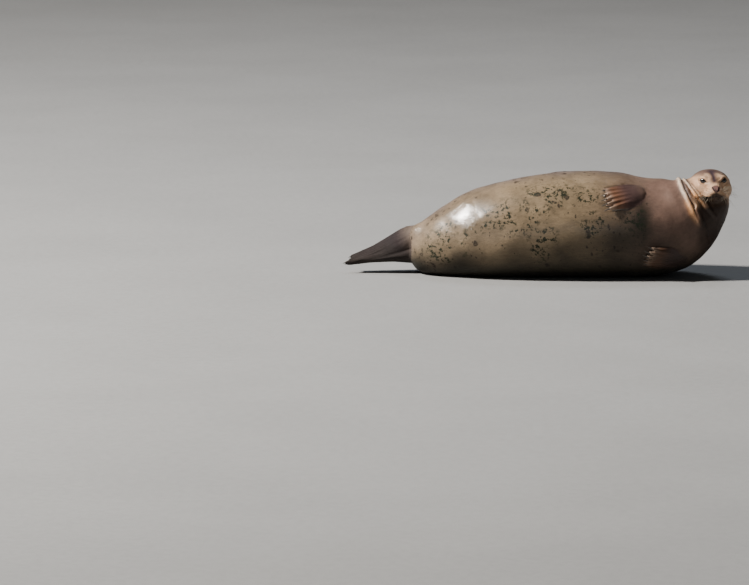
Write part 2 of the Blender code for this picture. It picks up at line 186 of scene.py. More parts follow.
def relaxed(points, edges, share, passes, keep_size=False):
    """Points drawn towards their neighbours' mean, by each one's share.

    Keeping size swells them again on every other pass.
    """
    active = share > 0.001
    edges = edges[active[edges].any(1)]
    for k in range(passes):
        step = -0.52 if keep_size and k % 2 else 0.5
        points = points + (averaged(points, edges) - points) * (share * step * active)[:, None]
    return points


# ---------------------------------------------------------------- the frames of the head, body and limbs
def middle_of(name):
    low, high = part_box(name)
    return np.array((low + high) / 2)


def head_axes():
    """The head's right, forward and up, and its origin, from where the eyes are."""
    right_eye, left_eye = middle_of("eye_right"), middle_of("eye_left")
    side = unit(right_eye - left_eye)
    level = np.cross((0, 0, 1), side)
    forward = unit(level * math.cos(HEAD_PITCH) + np.array((0, 0, math.sin(HEAD_PITCH))))
    up = np.cross(side, forward)
    axes = np.array((side, forward, up))
    return axes, (right_eye + left_eye) / 2 - (EYE_PLACE * (0, 1, 1) * MM) @ axes


HEAD_AXES, HEAD_ORIGIN = head_axes()


def to_head(points):
    """World points in the head's millimetres."""
    return (points - HEAD_ORIGIN) @ HEAD_AXES.T / MM


def from_head(points):
    return np.asarray(points) @ HEAD_AXES * MM + HEAD_ORIGIN


def body_line():
    """The line down the middle of the body, from the nose to the rear, with its length from the nose."""
    _, across, up = middle_of("tail")
    rear = np.array((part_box("hips")[0].x - 0.03, across - 0.045, up - 0.01))
    rows = [
        from_head(NOSE_TIP - (0, 1, 4)),
        from_head((0, 60, -22)),
        from_head((0, -5, -40)),
        middle_of("neck") + (0.015, -0.012, 0.0),
        middle_of("chest") + (0.06, 0, 0.0),
        middle_of("chest") - (0.1, 0, 0),
        middle_of("belly") - (0.05, 0, 0.008),
        middle_of("hips") - (0, 0, 0.030),
        rear,
    ]
    line = curved(rows, 24)
    return line, np.concatenate([[0], np.cumsum(np.linalg.norm(np.diff(line, axis=0), axis=1))])


LINE, LINE_LENGTHS = body_line()
LINE_AWAY = unit(np.gradient(LINE, axis=0))  # towards the tail
LINE_RIGHT = unit(np.array((0, 0, 1)) - LINE_AWAY * LINE_AWAY[:, 2:3])
LINE_BELLY = unit(np.cross(LINE_RIGHT, LINE_AWAY))
LINE_BLEND = 0.008  # square metres


class Limb:
    """A flipper's own frame: its root, the ways ahead, across and out, and where each digit runs."""

    def __init__(self, name):
        self.name = name
        self.fore = float(name.startswith("fore"))
        self.ridge = RIDGE_HEIGHTS[name.split("_")[0]]
        claws = np.array([middle_of(f"claw_{name}_{number}") for number in DIGITS])
        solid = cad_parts[name].data
        points = points_of(solid)
        reach = np.linalg.norm(points - claws.mean(0), axis=1)
        self.root = points[reach > np.quantile(reach, 0.9)].mean(0)
        self.ahead = unit(claws.mean(0) - self.root)
        across = claws[0] - claws[-1]
        self.across = unit(across - self.ahead * (across @ self.ahead))
        self.out = np.cross(self.ahead, self.across)
        self.length = (claws - self.root) @ self.ahead
        self.ends = (claws - self.root) @ self.across
        faces = [face.vertices for face in solid.polygons]
        self.tree = BVHTree.FromPolygons([vertex.co for vertex in solid.vertices], faces)
        low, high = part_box(name)
        self.low, self.high = np.array(low) - LIMB_MARGIN, np.array(high) + LIMB_MARGIN

    def placed(self, points):
        """Points along, across and out of the flipper."""
        return (points - self.root) @ np.array((self.ahead, self.across, self.out)).T

    def distance(self, points):
        """How far points are from the flipper's solid, 1 metre where they are nowhere near."""
        far = np.ones(len(points))
        for k in np.flatnonzero(((points > self.low) & (points < self.high)).all(1)):
            far[k] = self.tree.find_nearest(Vector(points[k]))[3] or 0.0
        return far

    def digit_offsets(self, local):
        """Each point's distance across from each digit's line."""
        share = local[:, :1] / self.length.mean()
        lines = self.ends[None, :] * (0.55 + 0.45 * np.clip(share, 0, 1.1))
        return local[:, 1:2] - lines


LIMB_FRAMES = [Limb(name) for name in FLIPPERS]


class Survey:
    """Where points are on the seal: in the head's frame, along and round the body, and on which limb."""

    def __init__(self, points):
        self.points = points
        self.head = to_head(points)
        chunks = np.array_split(points, len(points) // 8000 + 1)
        rows = np.concatenate([self.along_line(chunk) for chunk in chunks])
        self.along, self.right, self.belly = rows[:, :3].T
        self.lie = unit(rows[:, 3:])
        self.combed = np.stack([self.along, self.right, self.belly], 1)
        self.turn = np.arctan2(self.belly, self.right)
        self.limb, self.fore, self.reach, self.beside = np.zeros((4, len(points)))
        self.island = np.zeros(len(points), int)
        self.gap = np.ones(len(points))
        for number, limb in enumerate(LIMB_FRAMES, 1):
            gap = limb.distance(points)
            share = 1 - smooth(gap, 0.0030, 0.0060)
            nearer = gap < self.gap
            self.gap[nearer] = gap[nearer]
            local = limb.placed(points)
            reach = local[:, 0] / limb.length.mean()
            self.beside[nearer] = np.maximum(reach[nearer], 1 - limb.fore)
            here = share > self.limb
            self.limb[here] = share[here]
            self.reach[here] = reach[here]
            self.fore[here] = limb.fore
            self.combed[here] = local[here] + (0, 0, LIMB_STEP * number)
            self.lie[here] = unit(limb.ahead + (limb.across * local[here, 1:2]) * 1.5)
            self.island[here] = number

    @staticmethod
    def along_line(points):
        """Along, right and belly of each point, and the way to the tail, blended over the line nearby."""
        offset = points[:, None, :] - LINE[None, :, :]
        apart = (offset**2).sum(2)
        weight = np.exp((apart.min(1, keepdims=True) - apart) / LINE_BLEND)
        weight /= weight.sum(1, keepdims=True)
        rows = [LINE_LENGTHS + np.einsum("nkd,kd->nk", offset, LINE_AWAY)]
        rows += [np.einsum("nkd,kd->nk", offset, ways) for ways in (LINE_RIGHT, LINE_BELLY)]
        measures = np.stack([(weight * row).sum(1) for row in rows], 1)
        return np.concatenate([measures, weight @ LINE_AWAY], 1)


# ---------------------------------------------------------------- the face, lid by lid
def eye_view(head, side):
    """Points seen from an eye's middle: offset, radius, how far outward and up, and past the lids' edge."""
    gaze = unit(GAZE)
    outward = unit(np.array((gaze[1], -gaze[0], 0.0)))
    upward = np.cross(outward, gaze)
    offset = head * (side, 1, 1) - EYE_PLACE
    radius = np.linalg.norm(offset, axis=1)
    ahead = offset @ gaze
    level = np.arctan2(offset @ outward, ahead) * EYE_RADIUS
    steep = np.arctan2(offset @ upward, ahead) * EYE_RADIUS
    one = level * math.cos(EYE_TILT) + steep * math.sin(EYE_TILT)
    two = steep * math.cos(EYE_TILT) - level * math.sin(EYE_TILT)
    edge = np.full(len(head), -1e3)
    for height, sign in ((OPENING_ABOVE, 1), (OPENING_BELOW, -1)):
        bow = (OPENING_HALF_WIDTH**2 + height**2) / (2 * height)
        arc = np.hypot(one, sign * two + bow - height) - bow
        edge = np.maximum(edge, arc)
    edge = np.where(ahead > 0, edge, 100.0)
    return offset, radius, one, two, edge


def shape_lids(head):
    """The skin drawn over the eyeballs, with an almond opening, thick lid edges and a fold above."""
    for side in SIDES:
        offset, radius, _, two, edge = eye_view(head, side)
        lid = EYE_RADIUS + 0.25 + LID_THICKNESS * smooth(edge, 0.0, 2.6)
        lid -= 4.0 * smooth(-edge, 0.0, 1.3)
        fold = 0.8 * bell(edge - 5.6, 1.2) * smooth(two, -1, 3)
        fold = fold + 0.5 * bell(edge - 4.6, 1.2) * smooth(-two, 0, 3)
        natural = radius - fold + 0.8 * bell(edge - 9.0, 3.0) * smooth(two, 0, 5)
        share = smooth(edge, 1.8, 9.0)
        wanted = natural * share + (lid - fold * 0.5) * (1 - share)
        near = (edge < 16) & (radius < EYE_RADIUS + 16)
        moved = (EYE_PLACE + offset * (wanted / np.maximum(radius, 1))[:, None]) * (side, 1, 1)
        head = np.where(near[:, None], moved, head)
    return head


def slit(flat, start, end):
    """Distance of flat points from a short line."""
    along = np.clip(((flat - start) @ (end - start)) / ((end - start) @ (end - start)), 0, 1)
    return np.linalg.norm(flat - start - along[:, None] * (end - start), axis=1)


def near_head(head):
    """1 on the head and 0 on the rest of the body."""
    return fading(np.abs(head), np.array((84, 160, 78)), np.array((100, 180, 95))).prod(1)


def nose_pad(head):
    """0 in the middle of the nose pad, 1 at its edge."""
    low = np.clip((NOSE_MIDDLE - head[:, 2]) / 13, 0, 1)
    return np.hypot(head[:, 0] / (16.5 - 7 * low), (head[:, 2] - NOSE_MIDDLE) / 12)


def nose_relief(head):
    """How far the nose's skin stands out, in millimetres."""
    flat = np.stack([np.abs(head[:, 0]), head[:, 2]], 1)
    nostril = slit(flat, NOSTRIL_LOW, NOSTRIL_HIGH)
    relief = -5.0 * bell(nostril, 1.8) + 0.9 * bell(nostril - 4.0, 1.6)
    relief = relief - 0.8 * bell(nose_pad(head) - 1.05, 0.12)
    under = smooth(head[:, 2], LIP_LEVEL, LIP_LEVEL + 6) * fading(head[:, 2], -8, -2)
    return smooth(head[:, 1], 106, 118) * (relief - 1.8 * bell(head[:, 0], 1.4) * under) * near_head(head)


def lip_line(head):
    """Height above the lips' line: up under the nose, down round each pad, up to the corners."""
    back = np.clip((124 - head[:, 1]) / (124 - LIP_CORNER), 0, 1.25)
    middle = 5.5 * bell(head[:, 0], 8.0)
    return head[:, 2] - (LIP_LEVEL + middle - 3.5 * np.sin(np.clip(back, 0, 1) * math.pi) + 9.0 * back**2)


def lip_reach(head):
    reach = smooth(head[:, 1], LIP_CORNER - 5, LIP_CORNER + 8) * near_head(head)
    return reach * fading(np.abs(head[:, 0]), 46, 56)


def mouth_relief(head):
    above = lip_line(head)
    lip = -3.4 * bell(above, 1.5) + 1.4 * bell(above - 4.5, 2.6) + 0.8 * bell(above + 4.5, 2.6)
    return lip_reach(head) * lip


def shape_muzzle(head):
    """The muzzle's front: swollen pads, a raised nose, and a small chin set back under them."""
    side, forward, up = head.T
    mask = near_head(head)
    pad = np.linalg.norm((np.stack([np.abs(side), forward, up], 1) - MUZZLE_MIDDLE) / (22, 34, 19), axis=1)
    swollen = 5.0 * bell(pad, 0.95) * mask
    way = unit(np.stack([side * 0.9, np.full(len(side), 40.0), (up - MUZZLE_MIDDLE[2]) * 0.7], 1))
    head = head + way * (swollen * smooth(forward, 80, 110))[:, None]
    bridge = 6.0 * bell(side, 13) * bell(up - NOSE_MIDDLE, 10) * smooth(forward, 96, 116) * mask
    below = smooth(-lip_line(head), -0.5, 3.5) * fading(-up, 62, 96)
    chin = 8.0 * below * smooth(forward, 78, 112) * mask
    narrow = 0.14 * below * smooth(forward, 60, 100) * mask
    return head + np.stack([-side * narrow, bridge - chin, bridge * 0.1], 1)


def face_relief(head):
    """Forehead furrow, whisker pads, ears and the small folds of the cheeks, in millimetres."""
    side, forward, up = head.T
    relief = -2.2 * bell(side, 7) * smooth(forward, 8, 40) * fading(forward, 72, 95) * smooth(up, 8, 22)
    ear = np.linalg.norm(np.stack([np.abs(side), forward, up], 1) - EAR_PLACE, axis=1)
    relief += -5.0 * bell(ear, 2.6) + 1.3 * bell(ear - 6.0, 2.4)
    for start, bow in ((50, 9), (38, 12)):
        line = forward - start - bow * np.cos(np.clip((up + 28) / 30, -2, 2))
        relief -= 0.9 * bell(line, 2.4) * bell(up + 30, 18) * smooth(np.abs(side), 42, 56)
    return relief * near_head(head)


def fold_places(points):
    """For each fold: how far ahead of it points are, how much of it there is, and its lower end's share."""
    for centre, facing, width, _, _, start, end in FOLDS:
        facing = unit(np.array(facing))
        offset = points - np.array(centre)
        ahead = offset @ facing
        top = unit(np.array((0, 0, 1)) - facing * facing[2])
        front = np.cross(facing, top)
        front = front if front[1] < 0 else -front
        turn = np.degrees(np.arctan2(offset @ front, offset @ top))
        waver = 0.10 * width * np.sin(turn * 0.13 + start) + 0.08 * width * np.sin(turn * 0.31)
        arc = smooth(turn, start - 12, start + 25) * fading(turn, end - 25, end + 12)
        arc = arc * (np.linalg.norm(offset, axis=1) < 0.25)
        yield ahead + waver, arc, smooth(turn, end - 48, end - 14)


def fold_relief(points):
    """The rolls round the neck and the grooves between them, in metres."""
    relief = np.zeros(len(points))
    for (ahead, arc, _), (_, _, width, height, depth, *_) in zip(fold_places(points), FOLDS):
        roll = height * bell(ahead, np.where(ahead < 0, 2.0, 0.9) * width)
        relief += arc * (roll - depth * bell(ahead - 1.55 * width, 0.45 * width))
    return relief


def swell_relief(points, survey):
    """Soft unevenness of the blubber, in metres."""
    waves = np.zeros(len(points))
    for size, height, lean in ((0.24, 0.0016, 0.7), (0.13, 0.0010, 1.9), (0.075, 0.0006, 4.1)):
        turned = points @ np.array(((1, 0.3, 0.2), (-0.2, 1, 0.4), (0.1, -0.4, 1.0))) * (2 * math.pi / size)
        one, two, three = turned.T
        waves += height * np.sin(one + lean) * np.cos(two - lean) * np.cos(three + 2 * lean)
    return waves * smooth(survey.along, 0.25, 0.45) * (1 - survey.limb)


def border(survey):
    """1 in the narrow gap beside a flipper, fading out at a fore flipper's root."""
    return bell(survey.gap - 0.0078, 0.0034) * smooth(survey.beside, 0.15, 0.50)


def limb_relief(points, survey):
    """The digits of each flipper as ridges with thin webs between, in metres."""
    relief = np.zeros(len(points))
    for number, limb in enumerate(LIMB_FRAMES, 1):
        here = survey.island == number
        local = limb.placed(points[here])
        spacing = abs(limb.ends[0] - limb.ends[-1]) / 4
        ridges = bell(limb.digit_offsets(local), spacing * 0.30).sum(1)
        grown = smooth(local[:, 0] / limb.length.mean(), 0.25, 0.75)
        relief[here] = (ridges - 0.6) * limb.ridge * grown * survey.limb[here]
    return relief - 0.0030 * border(survey)


# ---------------------------------------------------------------- making the skin
def new_object(name, mesh):
    obj = bpy.data.objects.new(name, mesh)
    bpy.context.scene.collection.objects.link(obj)
    return obj


def only_select(*objects):
    bpy.ops.object.select_all(action="DESELECT")
    for obj in objects:
        obj.select_set(True)
    bpy.context.view_layer.objects.active = objects[0]


def apply_modifier(obj, kind, **values):
    only_select(obj)
    modifier = obj.modifiers.new(kind.lower(), kind)
    for key, value in values.items():
        setattr(modifier, key, value)
    bpy.ops.object.modifier_apply(modifier=modifier.name)


def merged_copies(name, nodes):
    """The nodes' solids, copied and joined, with their loose triangles welded."""
    copies = [new_object(node + "_copy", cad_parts[node].data.copy()) for node in nodes]
    only_select(*copies)
    bpy.ops.object.join()
    obj = bpy.context.object
    obj.name = name
    bpy.ops.object.mode_set(mode="EDIT")
    bpy.ops.mesh.select_all(action="SELECT")
    bpy.ops.mesh.remove_doubles(threshold=1e-5)
    bpy.ops.object.mode_set(mode="OBJECT")
    obj.data.materials.clear()
    return obj


def refine(obj, wanted):
    """Halves the edges of the faces whose middle wanted() picks out."""
    shape = bmesh.new()
    shape.from_mesh(obj.data)
    middles = np.array([face.calc_center_median() for face in shape.faces])
    chosen = wanted(middles)
    edges = {edge for face, yes in zip(shape.faces, chosen) if yes for edge in face.edges}
    bmesh.ops.subdivide_edges(shape, edges=list(edges), cuts=1, use_grid_fill=True)
    shape.to_mesh(obj.data)
    shape.free()


def face_wanted(points):
    """The front of the head, the ears and the rolls of the neck."""
    head = to_head(points)
    front = (head[:, 1] > 22) & (near_head(head) > 0)
    ears = np.linalg.norm(head * (0, 1, 1) - EAR_PLACE * (0, 1, 1), axis=1) < 14
    return (front & (head[:, 2] > -75)) | (ears & (np.abs(head[:, 0]) > 55) & (np.abs(head[:, 2]) < 20))


def detail_wanted(points):
    """The lids, nose and lips."""
    head = to_head(points)
    lids = np.zeros(len(points), bool)
    for side in SIDES:
        _, radius, _, _, edge = eye_view(head, side)
        lids |= (edge < 8) & (edge > -4) & (radius < EYE_RADIUS + 9)
    nose = (head[:, 1] > 104) & (nose_pad(head) < 1.35)
    lips = (np.abs(lip_line(head)) < 5) & (lip_reach(head) > 0.05)
    return (lids | nose | lips) & (near_head(head) > 0)


def trunk_share(points, survey):
    """1 on the trunk, where the skin is smoothed the most, and 0 on head, rolls and limbs."""
    share = 0.3 * smooth(survey.along, 0.19, 0.25) + 0.7 * smooth(survey.along, 0.29, 0.42)
    share = share * (1 - 0.85 * np.clip(np.abs(fold_relief(points)) / 0.002, 0, 1))
    share = share * (1 - smooth(-points[:, 0], 0.43, 0.50) * 0.75)
    share = share * (1 - near_head(survey.head) * fading(survey.along, 0.26, 0.34))
    for limb in LIMB_FRAMES:
        share = share * smooth(limb.distance(points), 0.004, 0.012)
    return share


def skull_share(survey):
    """1 on the crown and the back of the head, which have no folds, and 0 on the face."""
    _, forward, up = survey.head.T
    share = np.maximum(1 - smooth(forward, 25, 48), smooth(up, 28, 38))
    return share * near_head(survey.head) * fading(survey.along, 0.20, 0.28)


def number_property(name, description, default, low, high, **kind):
    return FloatProperty(name=name, description=description, default=default, min=low, max=high, **kind)


def length_property(*values):
    return number_property(*values, unit="LENGTH")


def share_property(*values):
    return number_property(*values, subtype="FACTOR")


def count_property(name, description, default, low, high):
    return IntProperty(name=name, description=description, default=default, min=low, max=high)


class SealSkinSettings(bpy.types.PropertyGroup):
    grid: length_property("Grid", "Cell of the grid that the flesh is grown on", 0.0032, 0.002, 0.008)
    bridge: length_property("Bridge", "How far solids swell to close their cuts", 0.0006, 0.0, 0.002)
    inset: length_property("Inset", "Depth of the skin inside the solids, for the coat", 0.0012, 0.0, 0.004)
    trunk_passes: count_property("Trunk smoothing", "Smoothing passes on the trunk", 110, 0, 400)
    skull_passes: count_property("Skull smoothing", "Smoothing passes on the crown and nape", 50, 0, 200)
    last_passes: count_property("Last smoothing", "Smoothing passes on the thinned trunk", 80, 0, 200)
    trunk_keep: share_property("Trunk detail", "Share of the trunk's faces that is kept", 0.08, 0.02, 1.0)


BLEND_PASSES = 12  # over the border between the trunk and the rest
FORE_PASSES = 10  # of smoothing on head, rolls and limbs
REST_HEIGHT = 0.004  # below this the skin keeps the flats that the seal rests on


def build_skin(settings):
    """All of the flesh grown together, smoothed, thinned on the trunk and refined on the face."""
    skin = merged_copies("skin", [*FLESH, "eye_right", "eye_left"])
    apply_modifier(skin, "DISPLACE", strength=settings.bridge, mid_level=0.0)
    apply_modifier(skin, "REMESH", mode="VOXEL", voxel_size=settings.grid)
    points, edges = points_of(skin.data), edges_of(skin.data)
    survey = Survey(points)
    trunk = trunk_share(points, survey)
    for _ in range(BLEND_PASSES):
        trunk = averaged(trunk[:, None], edges)[:, 0]
    points = relaxed(points, edges, trunk, settings.trunk_passes)
    points = relaxed(points, edges, 1 - trunk, FORE_PASSES, keep_size=True)
    points = relaxed(points, edges, skull_share(survey), settings.skull_passes)
    move_points(skin.data, points)

    thin = skin.vertex_groups.new(name="thin")
    thinned = np.flatnonzero(trunk > 0.3)
    for k in thinned:
        thin.add([int(k)], 1.0, "REPLACE")
    ratio = 1 - len(thinned) / len(trunk) * (1 - settings.trunk_keep)
    apply_modifier(skin, "DECIMATE", ratio=ratio, vertex_group="thin", vertex_group_factor=1.0)
    skin.vertex_groups.clear()
    points = points_of(skin.data)
    share = trunk_share(points, Survey(points))
    points = relaxed(points, edges_of(skin.data), share, settings.last_passes, keep_size=True)
    move_points(skin.data, points)
    for wanted, passes in ((face_wanted, 6), (detail_wanted, 4)):
        refine(skin, wanted)
        soften_face(skin, passes)
    return skin


def soften_face(skin, passes):
    points, edges = points_of(skin.data), edges_of(skin.data)
    share = smooth(to_head(points)[:, 1], 5, 30)
    move_points(skin.data, relaxed(points, edges, share, passes, keep_size=True))


def sculpt_skin(skin, settings):
    """Lids, nose, lips, rolls and digits, worked into the grown skin."""
    points = points_of(skin.data)
    normals = normals_of(skin.data)
    survey = Survey(points)
    inset = settings.inset * smooth(survey.along, 0.05, 0.2) * (1 - 0.6 * survey.limb)
    relief = fold_relief(points) + swell_relief(points, survey) + limb_relief(points, survey) - inset
    relief[points[:, 2] < REST_HEIGHT] = 0
    relief += face_relief(survey.head) * MM
    points = points + normals * relief[:, None]
    head = to_head(points)
    near = near_head(head) > 0
    head[near] = shape_muzzle(head[near])
    points[near] = from_head(head[near])
    move_points(skin.data, points)

    normals = normals_of(skin.data)
    head = to_head(points)
    relief = (nose_relief(head) + mouth_relief(head)) * MM
    points = points + normals * relief[:, None]
    head = to_head(points)
    near = (head[:, 1] > 15) & (np.abs(head).max(1) < 200)
    head[near] = shape_lids(head[near])
    points[near] = from_head(head[near])
    points[:, 2] = np.maximum(points[:, 2], 0.0)
    move_points(skin.data, points)


def finish_piece(obj, material, replaced=()):
    """Gives a finished piece its material, and its place in the frame."""
    obj.data.materials.clear()
    obj.data.materials.append(material)
    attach(obj, "root")
    if replaced:
        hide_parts(*replaced)


# ---------------------------------------------------------------- colour, laid on by place
# Painted shadow below and behind the right flipper: middle along X and Z, reach along each, and share.
SHADOW_PATCHES = (
    (0.420, 0.245, 0.040, 0.085, 1.0),
    (0.330, 0.190, 0.115, 0.080, 0.8),
)
# Where green weed clings to the coat: middle along X and Z, and reach along each.
WEED_PATCHES = (
    (-0.07, 0.26, 0.10, 0.06),
    (0.02, 0.20, 0.055, 0.11),
    (0.10, 0.34, 0.14, 0.035),
    (0.39, 0.23, 0.04, 0.07),
    (-0.30, 0.20, 0.08, 0.035),
    (-0.19, 0.25, 0.08, 0.035),
    (-0.36, 0.13, 0.08, 0.06),
    (0.23, 0.23, 0.05, 0.05),
)


def patch_share(points, x, z, length, height):
    """1 in the middle of a patch, fading out with the distance along X and Z."""
    return bell(points[:, 0] - x, length) * bell(points[:, 2] - z, height)


class Tint:
    """The colour at each point of a survey, with more colours laid over it by place."""

    def __init__(self, survey, colours):
        self.colours = colours
        self.rows = np.tile(np.array(colours.flank), (len(survey.points), 1))

    def lay(self, name, share):
        self.rows = mixed(self.rows, getattr(self.colours, name), share)


def tint_trunk(tint, survey, along, waves):
    """Back, chest, under side, hips and tail, with painted shade on the under side.  Returns how much of the
    back and the under side there is.
    """
    x, _, z = survey.points.T
    back = smooth(-survey.belly + 0.02 * waves, -0.12, 0.11)
    tint.lay("back", back * 0.9)
    tint.lay("chest", fading(along, 0.42, 0.78) * (1 - back * 0.6))
    # Darker towards the bottom: wet coat there, and painted shade where the body curves under.
    low = fading(z + 0.02 * waves, 0.02, 0.18 + 0.11 * smooth(x, -0.20, 0.15))
    tint.lay("under", low)
    tint.lay("hips", smooth(along, 0.95, 1.15) * smooth(z, 0.10, 0.22) * (1 - back) * 0.8)
    tint.lay("hindflipper", smooth(-x, 0.485, 0.515) * (1 - survey.limb) * 0.6)
    return back, low


def tint_head(tint, head, along, on_head):
    """The pale face and brows, the dark crown with its stripe, and the wet fur under the chin, darkened as
    painted shade under the muzzle up to the lips.
    """
    right, forward, up = head.T
    side = np.abs(right)
    tint.lay("face", on_head * smooth(forward + 0.5 * up, -40, 10))
    tint.lay("crown", on_head * smooth(up - 0.2 * forward, 4, 34) * fading(forward, 30, 70) * 0.8)
    stripe = bell(right, 15 + 0.15 * np.clip(60 - forward, 0, 80)) * smooth(up, -14, 4)
    tint.lay("crown", on_head * stripe * smooth(forward, -20, 20) * fading(forward, 86, 112))
    tint.lay("brow", on_head * bell(side - 24, 10) * bell(up - 34, 8) * smooth(forward, 20, 45) * 0.8)
    # Wet fur under the chin, and painted shade below the lip line.
    throat = smooth(-up + 0.10 * forward, 48, 76) * smooth(forward, 0, 40) * fading(along, 0.24, 0.34)
    throat = np.maximum(throat, smooth(-lip_line(head), -1, 8) * lip_reach(head)) * fading(side, 50, 85)
    # Painted shade on the chin and the lower sides of the muzzle.
    chin = smooth(-up - 0.6 * side, 12, 25) * fading(side, 45, 65) * smooth(forward, 50, 80) * on_head
    tint.lay("throat", np.clip(np.maximum(throat, chin), 0, 1) * 0.95)


def dark_lids(head, on_head):
    """The dark edges of the lids, drawn out at each eye's two corners."""
    lids = np.zeros(len(head))
    for side in SIDES:
        _, radius, one, two, edge = eye_view(head, side)
        near = on_head * (radius < EYE_RADIUS + 12)
        outer = bell(two + 3.0 + 0.25 * (one - 15), 2.4) * smooth(one, 8, 13) * fading(one, 20, 27)
        inner = bell(two + 2.0, 1.8) * smooth(-one, 9, 12) * fading(-one, 16, 24)
        lids = np.maximum(lids, near * fading(edge, 1.6, 5.0))
        lids = np.maximum(lids, near * np.maximum(outer, inner) * (edge > 0) * 0.8)
    return lids


def tint_bare_skin(tint, head, on_head):
    """Nose pad, lids, nostrils, lips, and painted shade in the ear openings.  Returns how bare the face is.
    """
    front = smooth(head[:, 1], 100, 112)
    nose = front * fading(nose_pad(head), 0.92, 1.12) * on_head
    flat = np.stack([np.abs(head[:, 0]), head[:, 2]], 1)
    nostrils = on_head * front * bell(slit(flat, NOSTRIL_LOW, NOSTRIL_HIGH), 2.4)
    lips = bell(lip_line(head), 2.6) * lip_reach(head)
    dark = np.maximum.reduce([dark_lids(head, on_head), nostrils, lips])
    tint.lay("nose", nose)
    tint.lay("dark", np.clip(dark, 0, 1))
    # Painted shade in each ear opening's pit.
    ear = np.linalg.norm(np.abs(head * (1, 0, 0)) + head * (0, 1, 1) - EAR_PLACE, axis=1)
    tint.lay("dark", on_head * bell(ear, 4.5))
    return np.maximum(dark, nose)


def tint_folds(tint, points, waves):
    """Painted highlights on the crests of the neck's rolls, an orange stain at their lower ends, and painted
    shade in the grooves.
    """
    for (ahead, arc, low_end), (_, _, width, *_) in zip(fold_places(points), FOLDS):
        # Painted highlight along each roll's crest.
        tint.lay("roll", arc * bell(ahead, 0.85 * width) * 0.9)
        tint.lay("rust", arc * bell(ahead, 1.4 * width) * low_end * (0.85 + 0.15 * waves))
        # Painted shade in the groove in front of each roll.
        tint.lay("throat", arc * bell(ahead - 1.6 * width, 0.55 * width) * 0.85)


def tint_limbs(tint, survey, low):
    """Painted shadow below and behind the right flipper, painted shade in the groove beside each flipper,
    over the fore flippers' wrists and low on the flippers, and the flippers themselves.  Returns how much of
    the hind flippers there is.
    """
    points, limb, reach = survey.points, survey.limb, survey.reach
    # Painted shadow below and behind the right flipper.
    for *patch, share in SHADOW_PATCHES:
        shadowed = patch_share(points, *patch) * smooth(-points[:, 1], 0.0, 0.08)
        tint.lay("under", shadowed * share * (1 - limb))
    fore = limb * survey.fore
    hind = limb * (1 - survey.fore) * (0.4 + 0.6 * smooth(reach, -0.05, 0.30))
    # Painted shade in the groove beside each flipper.
    tint.lay("throat", border(survey) * 0.8)
    tint.lay("foreflipper", fore * (0.05 + 0.95 * smooth(reach, 0.0, 0.5)))
    # Painted shade over each fore flipper's wrist, in the crown's colour.
    tint.lay("crown", fore * smooth(reach, -0.1, 0.25) * fading(reach, 0.40, 0.75) * 0.7)
    tint.lay("hindflipper", hind)
    tint.lay("roll", fore * smooth(reach, 0.72, 1.02) * 0.4)
    # Painted shade low on the flippers.
    tint.lay("under", limb * low * 0.6)
    return hind


def tints(survey, colours):
    """The coat's colour at each point, and how spotted, weedy, bare and glossy it is there."""
    points, limb = survey.points, survey.limb
    x, y, z = points.T
    waves = np.sin(x * 31 + 1.3) * np.cos(z * 23 + y * 17)
    along = survey.along + 0.02 * waves
    on_head = near_head(survey.head) * fading(survey.along, 0.17, 0.22)
    tint = Tint(survey, colours)
    back, low = tint_trunk(tint, survey, along, waves)
    tint_head(tint, survey.head, along, on_head)
    bare = tint_bare_skin(tint, survey.head, on_head)
    tint_folds(tint, points, waves)
    hind = tint_limbs(tint, survey, low)

    trunk = smooth(along, 0.34, 0.50) * (1 - limb)
    patches = 0.5 + 0.5 * np.sin(x * 13 + 0.8) * np.cos(z * 17 + 0.3)
    spotted = trunk * (0.55 + 0.45 * patches) + (0.15 * (1 - trunk) + 0.5 * back) * (1 - on_head)
    weedy = np.maximum.reduce([patch_share(points, *patch) for patch in WEED_PATCHES])
    weedy = weedy * fading(y, 0.0, 0.10) * (1 - limb)
    bare = np.clip(bare + 0.35 * limb, 0, 1)
    gloss = smooth(along, 0.36, 0.66) * (1 - limb) * smooth(z, 0.12, 0.26)
    gloss = gloss - 1.5 * np.maximum(hind, low * (1 - limb))  # below 0 it is matt
    return tint.rows, np.clip(spotted, 0, 1), weedy, bare, gloss


def put_attribute(mesh, name, kind, values):
    layer = mesh.attributes.get(name) or mesh.attributes.new(name, kind, "POINT")
    field = {"FLOAT": "value", "FLOAT_VECTOR": "vector", "FLOAT_COLOR": "color"}[kind]
    write_rows(layer.data, field, values)


def paint(mesh, survey, colours, copies=1, shade=None):
    """Lays the colours on a mesh that has this many vertices for each point of the survey."""
    tint, *masks = tints(survey, colours)
    shade = np.zeros(len(tint)) if shade is None else shade
    rows = np.concatenate([tint, np.ones((len(tint), 1))], 1)
    put_attribute(mesh, "tint", "FLOAT_COLOR", np.repeat(rows, copies, 0))
    put_attribute(mesh, "combed", "FLOAT_VECTOR", np.repeat(survey.combed, copies, 0))
    for name, values in zip(("spotted", "weedy", "bare", "gloss", "shade"), (*masks, shade)):
        put_attribute(mesh, name, "FLOAT", np.repeat(values, copies))


def colour_property(name, description, default):
    return FloatVectorProperty(
        name=name, description=description, default=default, size=3, min=0, max=1, subtype="COLOR",
    )


